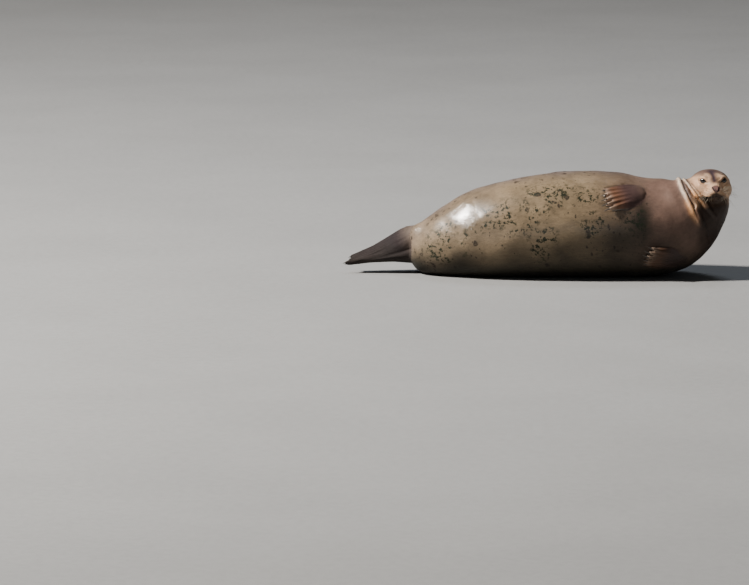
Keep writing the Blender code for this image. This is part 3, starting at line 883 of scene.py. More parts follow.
class SealColourSettings(bpy.types.PropertyGroup):
    flank: colour_property("Flank", "Belly and flank", (0.270, 0.197, 0.118))
    back: colour_property("Back", "Back, from the crown to the tail", (0.215, 0.166, 0.167))
    chest: colour_property("Chest", "Neck and chest", (0.170, 0.102, 0.076))
    hips: colour_property("Hips", "The silvery hips", (0.245, 0.180, 0.115))
    # Wet coat on the side that it lies on, and painted shade darkening the coat towards the bottom, below the
    # right flipper and low on the flippers.
    under: colour_property("Under side", "The damp side that it lies on", (0.018, 0.015, 0.009))
    face: colour_property("Face", "Cheeks and muzzle", (0.60, 0.37, 0.225))
    brow: colour_property("Brow", "Pale patch above each eye", (0.60, 0.40, 0.26))
    crown: colour_property("Crown", "Crown and the stripe down the forehead", (0.046, 0.027, 0.033))
    # Wet fur under the chin, also used as painted shade under the muzzle up to the lips, in the grooves
    # between the neck's rolls and beside the flippers.
    throat: colour_property("Throat", "Wet fur under the chin", (0.030, 0.015, 0.008))
    nose: colour_property("Nose", "Bare nose pad", (0.13, 0.065, 0.055))
    dark: colour_property("Dark skin", "Lid edges, nostrils and lips", (0.018, 0.012, 0.010))
    # Pale crests of the neck's rolls, where the colour is a painted highlight; it also lightens the fore
    # flippers' digit tips.
    roll: colour_property("Rolls", "Pale crests of the neck's rolls", (0.78, 0.60, 0.45))
    rust: colour_property("Rust", "Orange stain on the neck's rolls", (0.85, 0.34, 0.07))
    foreflipper: colour_property("Fore flippers", "Brown of the fore flippers", (0.125, 0.056, 0.030))
    hindflipper: colour_property("Hind flippers", "Grey of the hind flippers", (0.020, 0.011, 0.0125))
    spots: colour_property("Spots", "Small dark spots and rings", (0.012, 0.008, 0.006))
    weed: colour_property("Weed", "Dark green flecks of weed", (0.010, 0.015, 0.004))
    claws: colour_property("Claws", "Horn of the claws", (0.15, 0.105, 0.08))
    iris: colour_property("Iris", "Brown ring round the pupil", (0.022, 0.011, 0.006))
    whiskers: colour_property("Whiskers", "Pale horn of the whiskers", (0.46, 0.385, 0.285))
    floor: colour_property("Floor", "Studio floor", (0.34, 0.34, 0.335))


# ---------------------------------------------------------------- materials
# Spots of three sizes: cells for each metre, a spot's least and most size in cells, and its stretch.
SPOT_SIZES = ((25.0, 0.02, 0.36, 1.0), (46.0, -0.06, 0.33, 0.55), (85.0, -0.04, 0.32, 0.8))
HAIR_STREAKS = 420.0  # for each metre
LEATHER_CREASES = 420.0  # cells for each metre
FUR_SURFACE = {"Specular IOR Level": 0.35, "Coat Roughness": 0.19, "Coat IOR": 1.75}


class Graph:
    """Adds nodes to a tree.  Each input is given as a value or as another node's socket."""

    def __init__(self, tree):
        self.tree = tree

    def fill(self, sockets, inputs):
        for key, value in dict(inputs).items():
            if isinstance(value, bpy.types.NodeSocket):
                self.tree.links.new(value, sockets[key])
            else:
                sockets[key].default_value = value

    def add(self, kind, inputs=(), **values):
        node = self.tree.nodes.new(kind)
        for key, value in values.items():
            setattr(node, key, value)
        self.fill(node.inputs, inputs)
        return node

    def math(self, operation, *terms, clamp=False):
        return self.add("ShaderNodeMath", enumerate(terms), operation=operation, use_clamp=clamp).outputs[0]

    def plus(self, one, two, clamp=False):
        return self.math("ADD", one, two, clamp=clamp)

    def minus(self, one, two):
        return self.math("SUBTRACT", one, two)

    def times(self, product, *factors, clamp=False):
        for factor in factors:
            product = self.math("MULTIPLY", product, factor, clamp=clamp)
        return product

    def vector(self, operation, one, other):
        rows = {0: one, "Scale" if operation == "SCALE" else 1: other}
        return self.add("ShaderNodeVectorMath", rows, operation=operation).outputs[0]

    def mix(self, share, one, two):
        rows = {0: share, 6: one, 7: two}
        return self.add("ShaderNodeMix", rows, data_type="RGBA").outputs[2]

    def span(self, value, low, high, to_low=0.0, to_high=1.0):
        rows = {0: value, 1: low, 2: high, 3: to_low, 4: to_high}
        return self.add("ShaderNodeMapRange", rows, interpolation_type="SMOOTHSTEP").outputs[0]

    def attribute(self, name, output="Fac"):
        return self.add("ShaderNodeAttribute", attribute_name=name).outputs[output]

    def position(self):
        return self.add("ShaderNodeTexCoord").outputs["Object"]

    def place(self, vector, scale):
        return self.add("ShaderNodeMapping", {"Vector": vector, "Scale": scale}).outputs[0]

    def noise(self, vector, scale, detail=3.0, roughness=0.55, output=0):
        rows = {"Vector": vector, "Scale": scale, "Detail": detail, "Roughness": roughness}
        return self.add("ShaderNodeTexNoise", rows).outputs[output]

    def cells(self, vector, scale, channel):
        """Distance to the nearest cell's middle, and a chance that is the same all over the cell."""
        cells = self.add("ShaderNodeTexVoronoi", {"Vector": vector, "Scale": scale}).outputs
        return cells["Distance"], self.add("ShaderNodeSeparateColor", {0: cells["Color"]}).outputs[channel]

    def bump(self, height, strength, distance):
        rows = {"Height": height, "Strength": strength, "Distance": distance}
        return self.add("ShaderNodeBump", rows).outputs[0]


def new_group(name, inputs, outputs):
    """A node group with these sockets: its tree, its graph, and its own inputs and outputs."""
    tree = bpy.data.node_groups.new(name, "ShaderNodeTree")
    for direction, sockets in (("INPUT", inputs), ("OUTPUT", outputs)):
        for label, kind in sockets.items():
            tree.interface.new_socket(label, in_out=direction, socket_type="NodeSocket" + kind)
    graph = Graph(tree)
    return tree, graph, graph.add("NodeGroupInput").outputs, graph.add("NodeGroupOutput").inputs


def ring_marks(graph, position, warped, spotted):
    """Broken rings, a few centimetres wide."""
    swirl = graph.noise(position, 15.0, 3.0, 0.5, "Color")
    swirled = graph.vector("ADD", warped, graph.vector("SCALE", swirl, 0.055))
    distance, chance = graph.cells(swirled, 9.5, 1)
    uneven = graph.span(graph.noise(position, 24.0, 2.0), 0.25, 0.75, 0.12, 0.34)
    ring = graph.span(graph.math("ABSOLUTE", graph.minus(distance, uneven)), 0.02, 0.055, 1.0, 0.0)
    broken = graph.span(graph.noise(position, 48.0), 0.46, 0.56)
    return graph.times(ring, graph.span(chance, 0.70, 0.74), broken, graph.span(spotted, 0.4, 0.9))


def weed_flecks(graph, position, weedy):
    """Small ragged flecks in clumps."""
    fleck = graph.span(graph.noise(position, 66.0, 4.0, 0.68), 0.518, 0.556)
    clump = graph.span(graph.noise(position, 17.0, 2.0), 0.40, 0.54)
    return graph.times(fleck, clump, graph.span(weedy, 0.05, 0.5))


def seal_markings():
    """Spots, rings and flecks of weed over a tint, by place on the body."""
    colours = dict.fromkeys(("Tint", "Spots", "Weed"), "Color")
    tree, graph, given, made = new_group(
        "seal_markings",
        {"Position": "Vector", **colours, "Spotted": "Float", "Weedy": "Float"},
        {"Color": "Color", "Mark": "Float"},
    )
    position = given["Position"]
    warp = graph.vector("SUBTRACT", graph.noise(position, 38.0, 2.0, 0.5, "Color"), (0.5, 0.5, 0.5))
    warped = graph.vector("ADD", position, graph.vector("SCALE", warp, 0.022))
    mark = 0.0
    for scale, least, most, stretch in SPOT_SIZES:
        distance, chance = graph.cells(graph.place(warped, (1, 1, stretch)), scale, 0)
        chance = graph.times(graph.math("POWER", chance, 1.6), given["Spotted"])
        size = graph.span(chance, 0.25, 1.0, least, most)
        spot = graph.span(graph.minus(size, distance), -0.05, 0.07)
        mark = graph.math("MAXIMUM", mark, graph.times(spot, graph.span(size, 0.0, 0.06)))
    mark = graph.math("MAXIMUM", mark, ring_marks(graph, position, warped, given["Spotted"]))
    mark = graph.times(mark, graph.span(graph.noise(position, 260.0, 2.0), 0.30, 0.60, 0.55, 1.0))
    weed = weed_flecks(graph, position, given["Weedy"])
    mottle = graph.span(graph.noise(position, 11.0, 4.0, 0.6), 0.3, 0.7, 0.78, 1.17)
    base = graph.vector("SCALE", given["Tint"], mottle)
    spotted = graph.mix(graph.times(mark, 0.9), base, given["Spots"])
    coloured = graph.mix(weed, spotted, given["Weed"])
    graph.fill(made, {"Color": coloured, "Mark": graph.math("MAXIMUM", mark, weed)})
    return tree


def lying_hair():
    """Streaks of short hair that lie along the body, as a height and as a shade."""
    outputs = {"Height": "Float", "Shade": "Float"}
    tree, graph, given, made = new_group("lying_hair", {"Combed": "Vector"}, outputs)
    fine = graph.noise(graph.place(given["Combed"], (0.10, 1.0, 1.0)), HAIR_STREAKS, 3.0, 0.6)
    clumps = graph.noise(graph.place(given["Combed"], (0.22, 1.0, 1.0)), 90.0, 3.0)
    height = graph.plus(graph.times(fine, 0.6), graph.times(clumps, 0.7))
    graph.fill(made, {"Height": height, "Shade": graph.span(height, 0.45, 0.85, -1.0, 1.0)})
    return tree


class Surface(Graph):
    """A new material's graph, with its shader."""

    def __init__(self, name):
        material = bpy.data.materials.new(name)
        material.use_nodes = True
        super().__init__(material.node_tree)
        self.shader = material.node_tree.nodes["Principled BSDF"].inputs


class Hide(Surface):
    """The markings, streaks of hair and wet gloss that the materials of skin and tufts share."""

    def __init__(self, name, colours, markings, hair, streaks):
        super().__init__(name)
        self.place_on_body = self.position()
        self.bare = self.attribute("bare")
        self.gloss = self.attribute("gloss")
        rows = {
            "Position": self.place_on_body,
            "Tint": self.attribute("tint", "Color"),
            "Spots": (*colours.spots, 1),
            "Weed": (*colours.weed, 1),
            "Spotted": self.attribute("spotted"),
            "Weedy": self.attribute("weedy"),
        }
        marks = self.add("ShaderNodeGroup", rows, node_tree=markings).outputs
        lying = self.add("ShaderNodeGroup", {"Combed": self.attribute("combed", "Vector")}, node_tree=hair)
        self.mark = marks["Mark"]
        self.height = lying.outputs["Height"]
        self.furry = self.minus(1.0, self.bare)
        shade = self.plus(self.times(lying.outputs["Shade"], self.furry, streaks), self.attribute("shade"))
        self.fill(self.shader, FUR_SURFACE)
        self.fill(self.shader, {
            "Base Color": self.vector("SCALE", marks["Color"], self.plus(shade, 1.0)),
            "Coat Weight": self.times(self.gloss, 0.9, clamp=True),
        })

    def polished(self, rough):
        """A roughness, lower where the coat is glossy and higher where it is matt."""
        return self.minus(rough, self.times(self.gloss, 0.18))


def skin_material(*shared):
    hide = Hide("seal_skin", *shared, 0.13)
    rough = hide.polished(hide.span(hide.noise(hide.place_on_body, 14.0, 4.0, 0.6), 0.3, 0.7, 0.46, 0.58))
    rough = hide.plus(hide.plus(rough, hide.times(hide.mark, 0.12)), hide.times(hide.bare, 0.22))
    rows = {"Vector": hide.place_on_body, "Scale": LEATHER_CREASES}
    creases = hide.add("ShaderNodeTexVoronoi", rows, feature="DISTANCE_TO_EDGE").outputs["Distance"]
    leather = hide.times(hide.span(creases, 0.0, 0.25), hide.times(hide.bare, 0.35))
    relief = hide.plus(hide.times(hide.height, hide.furry), leather)
    hide.fill(hide.shader, {
        "Roughness": rough,
        "Normal": hide.bump(relief, 0.55, 0.0012),
        "Sheen Weight": 0.04,
        "Sheen Roughness": 0.45,
    })


def coat_material(*shared):
    hide = Hide("seal_coat", *shared, 0.10)
    rough = hide.polished(hide.span(hide.mark, 0.0, 1.0, 0.52, 0.62))
    hide.fill(hide.shader, {"Roughness": rough, "Sheen Weight": 0.05, "Sheen Roughness": 0.4})


def horn_material(name, root, tip):
    """Streaked horn that changes from its root's colour to its tip's."""
    horn = Surface(name)
    streaks = horn.noise(horn.position(), 900.0, 4.0, 0.7)
    share = horn.plus(horn.times(horn.attribute("tip"), 0.7), horn.times(streaks, 0.3), clamp=True)
    horn.fill(horn.shader, {
        "Base Color": horn.mix(horn.span(share, 0.15, 0.95), (*root, 1), (*tip, 1)),
        "Roughness": horn.span(streaks, 0.3, 0.7, 0.42, 0.60),
        "Normal": horn.bump(streaks, 0.3, 0.0003),
    })


def eye_material(colours):
    """A wide pupil, a thin brown iris with fine spokes, and dark white at the edge, under a wet surface."""
    eye = Surface("seal_eye")
    angle = eye.attribute("angle")
    spokes = eye.noise(eye.position(), 700.0)
    iris = eye.mix(eye.span(spokes, 0.3, 0.7), (*colours.dark, 1), (*colours.iris, 1))
    iris = eye.mix(eye.span(angle, 19, 23), (0.004, 0.003, 0.003, 1), iris)
    eye.fill(eye.shader, {
        "Base Color": eye.mix(eye.span(angle, 37, 41), iris, (0.012, 0.008, 0.007, 1)),
        "Roughness": eye.span(spokes, 0.2, 0.8, 0.05, 0.09),
        "Coat Weight": 1.0,
        "Coat Roughness": 0.02,
    })


def floor_material(colours):
    floor = Surface("studio_floor")
    place = floor.position()
    cloud = floor.span(floor.noise(place, 1.3, 4.0), 0.3, 0.7, 0.97, 1.03)
    floor.fill(floor.shader, {
        "Base Color": floor.vector("SCALE", colours.floor, cloud),
        "Roughness": floor.span(floor.noise(place, 30.0), 0.3, 0.7, 0.6, 0.75),
    })


def make_materials(colours):
    shared = (colours, seal_markings(), lying_hair())
    skin_material(*shared)
    coat_material(*shared)
    horn_material("claw_horn", colours.claws, (0.30, 0.21, 0.155))
    horn_material("whisker_horn", (0.06, 0.045, 0.035), colours.whiskers)
    eye_material(colours)
    floor_material(colours)


# ---------------------------------------------------------------- eyes, claws and whiskers
def build_eye(name, side):
    """An eyeball with a raised cornea, facing the way that the eye looks."""
    middle = middle_of(name)
    ball = (EYE_RADIUS - LID_PLAY) * MM
    bpy.ops.mesh.primitive_uv_sphere_add(segments=48, ring_count=28, radius=ball)
    eye = bpy.context.object
    eye.name = name + "_ball"
    gaze = unit(GAZE * (side, 1, 1)) @ HEAD_AXES
    turn = Vector(gaze).to_track_quat("Z", "Y").to_matrix()
    points = points_of(eye.data)
    angle = np.degrees(np.arccos(np.clip(points[:, 2] / ball, -1, 1)))
    points = points * (1 + 0.045 * smooth(-angle, -42, 0))[:, None]
    move_points(eye.data, points @ np.array(turn).T + middle)
    put_attribute(eye.data, "angle", "FLOAT", angle)
    eye.data.shade_smooth()
    finish_piece(eye, bpy.data.materials["seal_eye"], [name])


def build_claws(limb):
    """A flipper's five claws, rounded and curved, with the horn's grain along them."""
    nodes = [f"claw_{limb.name}_{number}" for number in DIGITS]
    claws = merged_copies(f"claws_{limb.name}", nodes)
    apply_modifier(claws, "SUBSURF", levels=2, render_levels=2)
    local = limb.placed(points_of(claws.data))[:, 0]
    put_attribute(claws.data, "tip", "FLOAT", smooth(local, local.min(), local.max()))
    claws.data.shade_smooth()
    finish_piece(claws, bpy.data.materials["claw_horn"], nodes)


class SealWhiskerSettings(bpy.types.PropertyGroup):
    length: length_property("Length", "Length of the longest whiskers", 0.068, 0.01, 0.2)
    radius: length_property("Radius", "Radius of a whisker at its root", 0.00042, 0.0002, 0.002)
    rows: count_property("Rows", "Rows of whiskers on each side", 6, 2, 9)


WHISKER_RINGS = 16
WHISKER_SIDES = 5
WHISKERS_IN_ROW = (5, 6, 7, 7, 6, 5, 4, 4, 4)
BROW_HAIRS = 4


def hair_tube(points, radii):
    """A closed tapering tube's vertices and faces along points."""
    ahead = unit(np.gradient(points, axis=0))
    across = unit(np.cross(ahead, (0.13, 0.21, 0.97)))
    lift = np.cross(ahead, across)
    angles = np.arange(WHISKER_SIDES) * 2 * math.pi / WHISKER_SIDES
    ring = np.cos(angles)[None, :, None] * across[:, None] + np.sin(angles)[None, :, None] * lift[:, None]
    verts = (points[:, None] + ring * radii[:, None, None]).reshape(-1, 3)
    faces = []
    for row in range(len(points) - 1):
        for k in range(WHISKER_SIDES):
            n = (k + 1) % WHISKER_SIDES
            low, high = row * WHISKER_SIDES, (row + 1) * WHISKER_SIDES
            faces.append((low + k, low + n, high + n, high + k))
    faces.append(tuple(reversed(range(WHISKER_SIDES))))
    faces.append(tuple(range(len(verts) - WHISKER_SIDES, len(verts))))
    return verts, faces


def whisker_starts(settings):
    """For each whisker: a point inside its pad, the way that it leaves, and its length."""
    rng = np.random.default_rng(11)
    for side in SIDES:
        for row in range(settings.rows):
            high = row / (settings.rows - 1)
            count = WHISKERS_IN_ROW[row]
            for k in range(count):
                back = (k + 0.5 * (row % 2)) / count
                start = np.array((11 + 20 * back, 112 - 22 * back, -17 - 19 * high + 3 * back))
                out = unit(np.array((0.35 + 0.75 * back, 0.85 - 0.75 * back, 0.16 - 0.62 * high)))
                out = unit(out + 0.07 * rng.normal(size=3))
                share = 0.30 + 0.70 * smooth(back, 0.0, 0.75)
                length = settings.length * share * (0.8 + 0.35 * rng.random())
                yield start * (side, 1, 1), out * (side, 1, 1), length
        for k in range(BROW_HAIRS):
            out = unit(np.array((0.25 + 0.16 * k, 0.75, 0.65)))
            start = EYE_PLACE + (-7 + 3.2 * k, 2, 14)
            yield start * (side, 1, 1), out * (side, 1, 1), settings.length * (0.3 + 0.15 * rng.random())


def build_whiskers(settings, skin):
    """Beaded whiskers on both pads and short hairs over each eye, rooted in the skin."""
    rng = np.random.default_rng(12)
    tree = BVHTree.FromObject(skin, bpy.context.evaluated_depsgraph_get())
    verts, faces, tips = [], [], []
    for start, out, length in whisker_starts(settings):
        away = unit(out @ HEAD_AXES)
        hit, normal, _, _ = tree.ray_cast(Vector(from_head(start) + away * 0.06), Vector(-away))
        if hit is None:
            raise RuntimeError("a whisker found no skin to stand on")
        lean = unit(away * 0.6 + np.array(normal) * 0.8)
        share = np.linspace(0, 1, WHISKER_RINGS)[:, None]
        sag = np.array((0, 0, -1.0)) * (0.22 + 0.16 * rng.random())
        droop = sag - HEAD_AXES[1] * (0.30 + 0.15 * rng.random())
        path = np.array(hit) - lean * 0.0015 + lean * length * share + droop * length * share**2.1
        beads = 1 + 0.10 * np.sin(share[:, 0] * length * 900)
        radii = settings.radius * (1.0 - 0.82 * share[:, 0] ** 1.3) * beads
        radii[0] *= 1.5
        made, sides = hair_tube(path, radii)
        faces += [tuple(k + sum(len(v) for v in verts) for k in face) for face in sides]
        verts.append(made)
        tips.append(np.repeat(smooth(share[:, 0], 0.0, 0.04), WHISKER_SIDES))
    mesh = bpy.data.meshes.new("whiskers")
    mesh.from_pydata(np.concatenate(verts).tolist(), [], faces)
    whiskers = new_object("whiskers", mesh)
    put_attribute(mesh, "tip", "FLOAT", np.concatenate(tips))
    mesh.shade_smooth()
    finish_piece(whiskers, bpy.data.materials["whisker_horn"])


# ---------------------------------------------------------------- the coat
# The pieces of the coat, and where each starts and ends along the body from the nose.
COAT_PARTS = {
    "coat_face": (0.00, 0.125),
    "coat_head": (0.125, 0.22),
    "coat_neck": (0.22, 0.40),
    "coat_shoulders": (0.40, 0.56),
    "coat_chest": (0.56, 0.72),
    "coat_belly": (0.72, 0.88),
    "coat_flank": (0.88, 1.04),
    "coat_hips": (1.04, 1.22),
    "coat_rump": (1.22, 2.00),
}
# Places along the body, and at each of them the tufts for each square metre and a tuft's length, width and
# lift in millimetres.  The flippers have the last four in a row of their own.
COAT_PLACES = (0.00, 0.06, 0.14, 0.22, 0.32, 0.45, 2.00)
COAT_ROWS = (
    (330000, 300000, 250000, 200000, 150000, 118000, 118000),
    (3.2, 4.2, 6.0, 8.0, 10.5, 13.0, 13.5),
    (0.8, 0.9, 1.1, 1.3, 1.6, 1.85, 1.85),
    (0.15, 0.18, 0.24, 0.34, 0.42, 0.48, 0.48),
)
LIMB_COAT = (170000, 6.0, 1.2, 0.35)
BARE_LIMIT = 0.45  # skin barer than this has no tufts


class SealCoatSettings(bpy.types.PropertyGroup):
    density: share_property("Density", "Share of the tufts that is made", 1.0, 0.05, 2.0)
    length: share_property("Length", "Length of the tufts, as a share of the real one", 1.0, 0.2, 3.0)
    lift: share_property("Lift", "How far the tufts stand off, as a share of the real one", 1.0, 0.0, 4.0)
    patch: share_property("Patch", "Size of each tuft's patch on the coat's bake map", 0.003, 0.0005, 0.02)


def scattered_roots(points, normals, corners, density, rng):
    """Roots spread evenly over the triangles, by each one's density, with the skin's normal there."""
    one, two, three = points[corners[:, 0]], points[corners[:, 1]], points[corners[:, 2]]
    areas = np.linalg.norm(np.cross(two - one, three - one), axis=1) / 2
    wanted = areas * density
    counts = np.floor(wanted + rng.random(len(wanted))).astype(int)
    chosen = np.repeat(np.arange(len(corners)), counts)
    first, second = rng.random((2, len(chosen)))
    flip = first + second > 1
    first, second = np.where(flip, 1 - first, first), np.where(flip, 1 - second, second)
    shares = np.stack([1 - first - second, first, second], 1)[:, :, None]
    picked = corners[chosen]
    return (points[picked] * shares).sum(1), unit((normals[picked] * shares).sum(1))


# A tuft is a slim closed leaf: its root, two edges, a ridge and a tip, each as shares of its length, width
# and lift.
TUFT = np.array(((0.0, 0.0, -0.5), (0.38, -0.5, 0.15), (0.38, 0.5, 0.15), (0.42, 0.0, 1.0), (1.0, 0.0, 0.55)))
TUFT_FACES = np.array(((0, 2, 1), (0, 1, 3), (0, 3, 2), (4, 1, 2), (4, 3, 1), (4, 2, 3)))
TUFT_LEAN = np.array(((0, 0), (-0.28, 0), (0.28, 0), (0, 0), (0, 0.10)))  # of the normals, across and ahead


def coat_map(survey):
    """Each root's place on the unrolled body, with the flippers laid out beside it.

    The body takes two thirds of the map's width.  Each flipper has a quarter of the height beside it, with
    its upper and under sides next to each other.
    """
    flat = np.stack([survey.along / LINE_LENGTHS[-1] * 0.66, 0.5 + survey.turn / (2 * math.pi)], 1)
    for number in range(1, len(LIMB_FRAMES) + 1):
        here = survey.island == number
        across = np.clip(0.5 + survey.combed[here, 1] / 0.14, 0, 1)
        under = survey.combed[here, 2] < LIMB_STEP * number
        corner = np.array((0.74, (number - 1) * 0.25))
        spread = np.stack([across * 0.11 + 0.13 * under, np.clip(survey.reach[here], 0, 1.2) * 0.19], 1)
        flat[here] = corner + spread
    return np.clip(flat, 0.002, 0.998)


def coat_sizes(survey):
    """Tufts for each square metre at each place, and their length, width and lift in metres."""
    rows = [np.interp(survey.along, COAT_PLACES, row) for row in COAT_ROWS]
    cheeks = near_head(survey.head) * smooth(survey.head[:, 1], 0, 60)
    rows[1] = rows[1] * (1 - 0.3 * cheeks)
    rows[3] = rows[3] * (1 + 0.6 * np.clip(np.abs(fold_relief(survey.points)) / 0.003, 0, 1))
    beside = fading(survey.gap, 0.006, 0.016) * (1 - survey.limb)
    for k in (1, 3):
        rows[k] = rows[k] * (1 - 0.5 * beside)
    for k, value in enumerate(LIMB_COAT):
        tips = 1 - 0.35 * smooth(survey.reach, 0.5, 1.0) * (k > 0)
        rows[k] = rows[k] + (value * tips - rows[k]) * survey.limb
    return rows[0], rows[1] * MM, rows[2] * MM, rows[3] * MM


def build_tufts(name, roots, normals, survey, settings, colours, rng):
    """One piece of the coat: a closed tuft on each root, lying along the body."""
    _, length, width, lift = coat_sizes(survey)
    count = len(roots)
    x, y, z = roots.T
    wander = np.stack([np.sin(z * 61 + x * 23), np.cos(x * 47), y * 0], 1)
    lie = survey.lie + 0.13 * rng.normal(size=(count, 3)) + 0.10 * wander
    lie = unit(lie - normals * (lie * normals).sum(1, keepdims=True))
    across = np.cross(normals, lie)
    vary = 0.7 + 0.6 * rng.random((count, 1, 1))
    sizes = np.stack([length * settings.length, width, lift * settings.lift], 1)
    shape = TUFT[None] * sizes[:, None, :] * vary
    sway = shape[:, :, 1] + rng.normal(size=(count, 1)) * 0.12 * length[:, None] * TUFT[None, :, 0] ** 2
    verts = roots[:, None] + lie[:, None] * shape[:, :, :1] + across[:, None] * sway[:, :, None]
    verts = verts + normals[:, None] * shape[:, :, 2:]
    verts = verts.reshape(-1, 3)
    verts[:, 2] = np.maximum(verts[:, 2], 0.0)
    faces = (TUFT_FACES[None] + np.arange(count)[:, None, None] * len(TUFT)).reshape(-1, 3)
    mesh = bpy.data.meshes.new(name)
    mesh.vertices.add(len(verts))
    mesh.loops.add(faces.size)
    mesh.polygons.add(len(faces))
    write_rows(mesh.vertices, "co", verts)
    write_rows(mesh.loops, "vertex_index", faces, np.int32)
    write_rows(mesh.polygons, "loop_start", np.arange(0, faces.size, 3), np.int32)
    mesh.update(calc_edges=True)
    patch = (TUFT[:, [0, 1]] - (0.5, 0.0)) * settings.patch
    spread = (coat_map(survey)[:, None] + patch[None]).reshape(-1, 2)
    write_rows(mesh.uv_layers.new(name="OFBake").data, "uv", spread[faces.ravel()])
    paint(mesh, survey, colours, len(TUFT), rng.normal(size=count) * 0.07)
    mesh.shade_smooth()
    lean = normals + across * rng.normal(size=(count, 1)) * 0.06
    turned = lean[:, None] + across[:, None] * TUFT_LEAN[None, :, :1] + lie[:, None] * TUFT_LEAN[None, :, 1:]
    mesh.normals_split_custom_set_from_vertices(unit(turned.reshape(-1, 3)))
    finish_piece(new_object(name, mesh), bpy.data.materials["seal_coat"])


def build_coat(settings, colours, skin):
    rng = np.random.default_rng(5)
    points, normals, corners = points_of(skin.data), normals_of(skin.data), triangles_of(skin.data)
    survey = Survey(points)
    density = coat_sizes(survey)[0] * settings.density
    bare = tints(survey, colours)[3]
    middle = corners[:, 0]
    limb = survey.limb[middle] > 0.5
    furred = (bare[middle] < BARE_LIMIT) & (points[middle, 2] > 0.001)
    along = survey.along[middle]
    jobs = [(name, ~limb & (along >= low) & (along < high)) for name, (low, high) in COAT_PARTS.items()]
    for name, chosen in [*jobs, ("coat_flippers", limb)]:
        roots, ups = scattered_roots(points, normals, corners, density[middle] * (chosen & furred), rng)
        build_tufts(name, roots, ups, Survey(roots), settings, colours, rng)
        print(name, len(roots), "tufts")


# ---------------------------------------------------------------- floor, lights and camera
def power_property(name, description, default):
    return number_property(name, description, default, 0, 100000, unit="POWER")


class SealStageSettings(bpy.types.PropertyGroup):
    elevation: number_property(
        "Camera height", "Angle of the camera above the horizon", math.radians(9), 0, math.radians(80),
        subtype="ANGLE", unit="ROTATION",
    )
    distance: length_property("Camera distance", "From the camera to what it looks at", 24.97, 1, 100)
    target: FloatVectorProperty(
        name="Camera target", description="The point that the camera looks at",
        default=(-0.647, 0.0061, -0.0728), size=3, subtype="TRANSLATION", unit="LENGTH",
    )
    lens: number_property("Lens", "Focal length in millimetres", 300, 10, 1000)
    key: power_property("Key light", "Power of the key light", 4800)
    fill: power_property("Fill light", "Power of the fill light", 6)
    back: power_property("Back light", "Power of the light behind", 300)
    sky: number_property("Surround", "Strength of the even light all round", 0.04, 0, 10)


# Each light's place, the point that it faces, its width and its colour.
LIGHTS = {
    "key": ((-10.2, -2.0, 9.6), (0, 0, 0.2), 1.8, (1.0, 0.955, 0.90)),
    "back": ((1.0, 4.5, 10.0), (0, 0, 0.2), 4.0, (0.80, 0.88, 1.0)),
    "fill": ((2.6, -4.2, 2.2), (0.2, 0, 0.2), 3.0, (0.88, 0.94, 1.0)),
}
FLOOR_RADIUS = 40
SKY_COLOUR = (0.86, 0.90, 0.96, 1)
SENSOR_WIDTH = 36  # millimetres


def turned_back(away):
    """The turn of a light or camera that looks the other way than away points."""
    return away.to_track_quat("Z", "Y").to_euler()


def add_light(name, power, place, aim, size, colour):
    light = bpy.data.lights.new(name, "AREA")
    light.shape = "DISK"
    light.size = size
    light.energy = power
    light.color = colour
    lamp = new_object(name, light)
    lamp.location = place
    lamp.rotation_euler = turned_back(Vector(place) - Vector(aim))
    lamp.visible_camera = False
    return lamp


def build_stage(settings):
    bpy.ops.object.select_all(action="DESELECT")
    bpy.ops.mesh.primitive_circle_add(vertices=96, radius=FLOOR_RADIUS, fill_type="NGON")
    floor = bpy.context.object
    floor.name = "studio_floor"
    floor.data.materials.append(bpy.data.materials["studio_floor"])
    for name, rest in LIGHTS.items():
        lamp = add_light(name + "_light", getattr(settings, name), *rest)
        lamp.visible_glossy = name != "back"  # that one would glare on the wet coat
    world = bpy.data.worlds.new("studio")
    world.use_nodes = True
    back = world.node_tree.nodes.get("Background") or world.node_tree.nodes.new("ShaderNodeBackground")
    back.inputs["Color"].default_value = SKY_COLOUR
    back.inputs["Strength"].default_value = settings.sky
    bpy.context.scene.world = world
    camera = bpy.data.cameras.new("camera")
    camera.lens = settings.lens
    camera.sensor_width = SENSOR_WIDTH
    camera.clip_end = 200
    holder = new_object("camera", camera)
    rise = settings.elevation
    away = Vector((0, -math.cos(rise), math.sin(rise)))
    holder.location = Vector(settings.target) + away * settings.distance
    holder.rotation_euler = turned_back(away)
    bpy.context.scene.camera = holder


# ---------------------------------------------------------------- operators and panel
class SEAL_OT_materials(bpy.types.Operator):
    """Make the seal's materials"""

    bl_idname = "seal.materials"
    bl_label = "Materials"

    def execute(self, context):
        make_materials(context.scene.seal_colours)
        return {"FINISHED"}


class SEAL_OT_skin(bpy.types.Operator):
    """Grow one skin over all of the flesh and sculpt its face, folds and flippers"""

    bl_idname = "seal.skin"
    bl_label = "Skin"

    def execute(self, context):
        settings = context.scene.seal_skin
        skin = build_skin(settings)
        sculpt_skin(skin, settings)
        paint(skin.data, Survey(points_of(skin.data)), context.scene.seal_colours)
        skin.data.shade_smooth()
        finish_piece(skin, bpy.data.materials["seal_skin"], FLESH)
        return {"FINISHED"}


class SEAL_OT_eyes(bpy.types.Operator):
    """Set a glossy eyeball behind each pair of lids"""

    bl_idname = "seal.eyes"
    bl_label = "Eyes"

    def execute(self, context):
        for name, side in (("eye_right", 1), ("eye_left", -1)):
            build_eye(name, side)
        return {"FINISHED"}


class SEAL_OT_claws(bpy.types.Operator):
    """Round off the claws of all four flippers"""

    bl_idname = "seal.claws"
    bl_label = "Claws"

    def execute(self, context):
        for limb in LIMB_FRAMES:
            build_claws(limb)
        return {"FINISHED"}


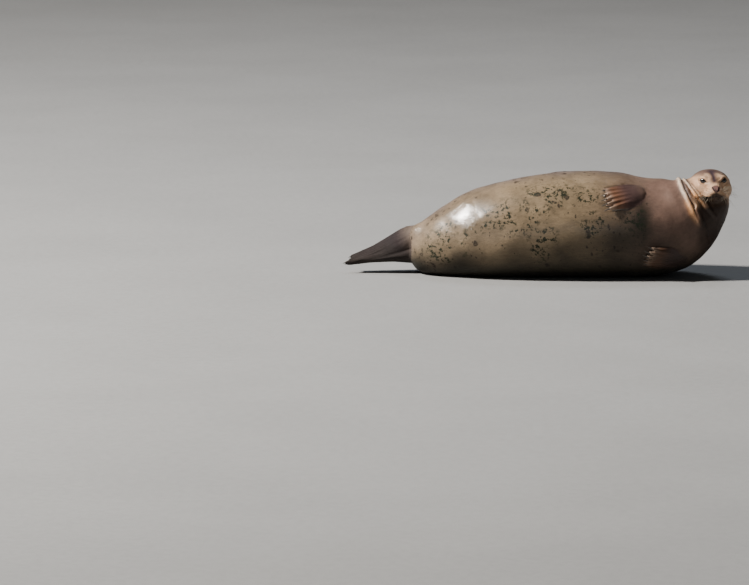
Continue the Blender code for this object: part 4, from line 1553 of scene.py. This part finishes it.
class SEAL_OT_whiskers(bpy.types.Operator):
    """Root the whiskers in the muzzle and the hairs over the eyes"""

    bl_idname = "seal.whiskers"
    bl_label = "Whiskers"

    def execute(self, context):
        build_whiskers(context.scene.seal_whiskers, bpy.data.objects["skin"])
        return {"FINISHED"}


class SEAL_OT_coat(bpy.types.Operator):
    """Cover the skin in short lying tufts"""

    bl_idname = "seal.coat"
    bl_label = "Coat"

    def execute(self, context):
        build_coat(context.scene.seal_coat, context.scene.seal_colours, bpy.data.objects["skin"])
        return {"FINISHED"}


class SEAL_OT_stage(bpy.types.Operator):
    """Lay the floor and set the lights and the camera"""

    bl_idname = "seal.stage"
    bl_label = "Stage"

    def execute(self, context):
        build_stage(context.scene.seal_stage)
        return {"FINISHED"}


class SEAL_PT_panel(bpy.types.Panel):
    """Lists the seal's pieces in the sidebar"""

    bl_idname = "SEAL_PT_panel"
    bl_label = "Harbor seal"
    bl_space_type = "VIEW_3D"
    bl_region_type = "UI"
    bl_category = "Seal"

    def draw(self, context):
        for operator in OPERATORS:
            self.layout.operator(operator.bl_idname)
        for name in SETTINGS:
            group = getattr(context.scene, name)
            column = self.layout.column(heading=name)
            for key in group.bl_rna.properties.keys():
                if key not in ("rna_type", "name"):
                    column.prop(group, key)


SETTINGS = {
    "seal_skin": SealSkinSettings,
    "seal_colours": SealColourSettings,
    "seal_whiskers": SealWhiskerSettings,
    "seal_coat": SealCoatSettings,
    "seal_stage": SealStageSettings,
}
OPERATORS = (
    SEAL_OT_materials,
    SEAL_OT_skin,
    SEAL_OT_eyes,
    SEAL_OT_claws,
    SEAL_OT_whiskers,
    SEAL_OT_coat,
    SEAL_OT_stage,
)


def register():
    for kind in (*SETTINGS.values(), *OPERATORS, SEAL_PT_panel):
        bpy.utils.register_class(kind)
    for name, kind in SETTINGS.items():
        setattr(bpy.types.Scene, name, PointerProperty(type=kind))


def unregister():
    for name in SETTINGS:
        delattr(bpy.types.Scene, name)
    for kind in (SEAL_PT_panel, *reversed(OPERATORS), *SETTINGS.values()):
        bpy.utils.unregister_class(kind)


def main():
    register()
    for operator in OPERATORS:
        category, name = operator.bl_idname.split(".")
        getattr(getattr(bpy.ops, category), name)()


if __name__ == "__main__":
    main()
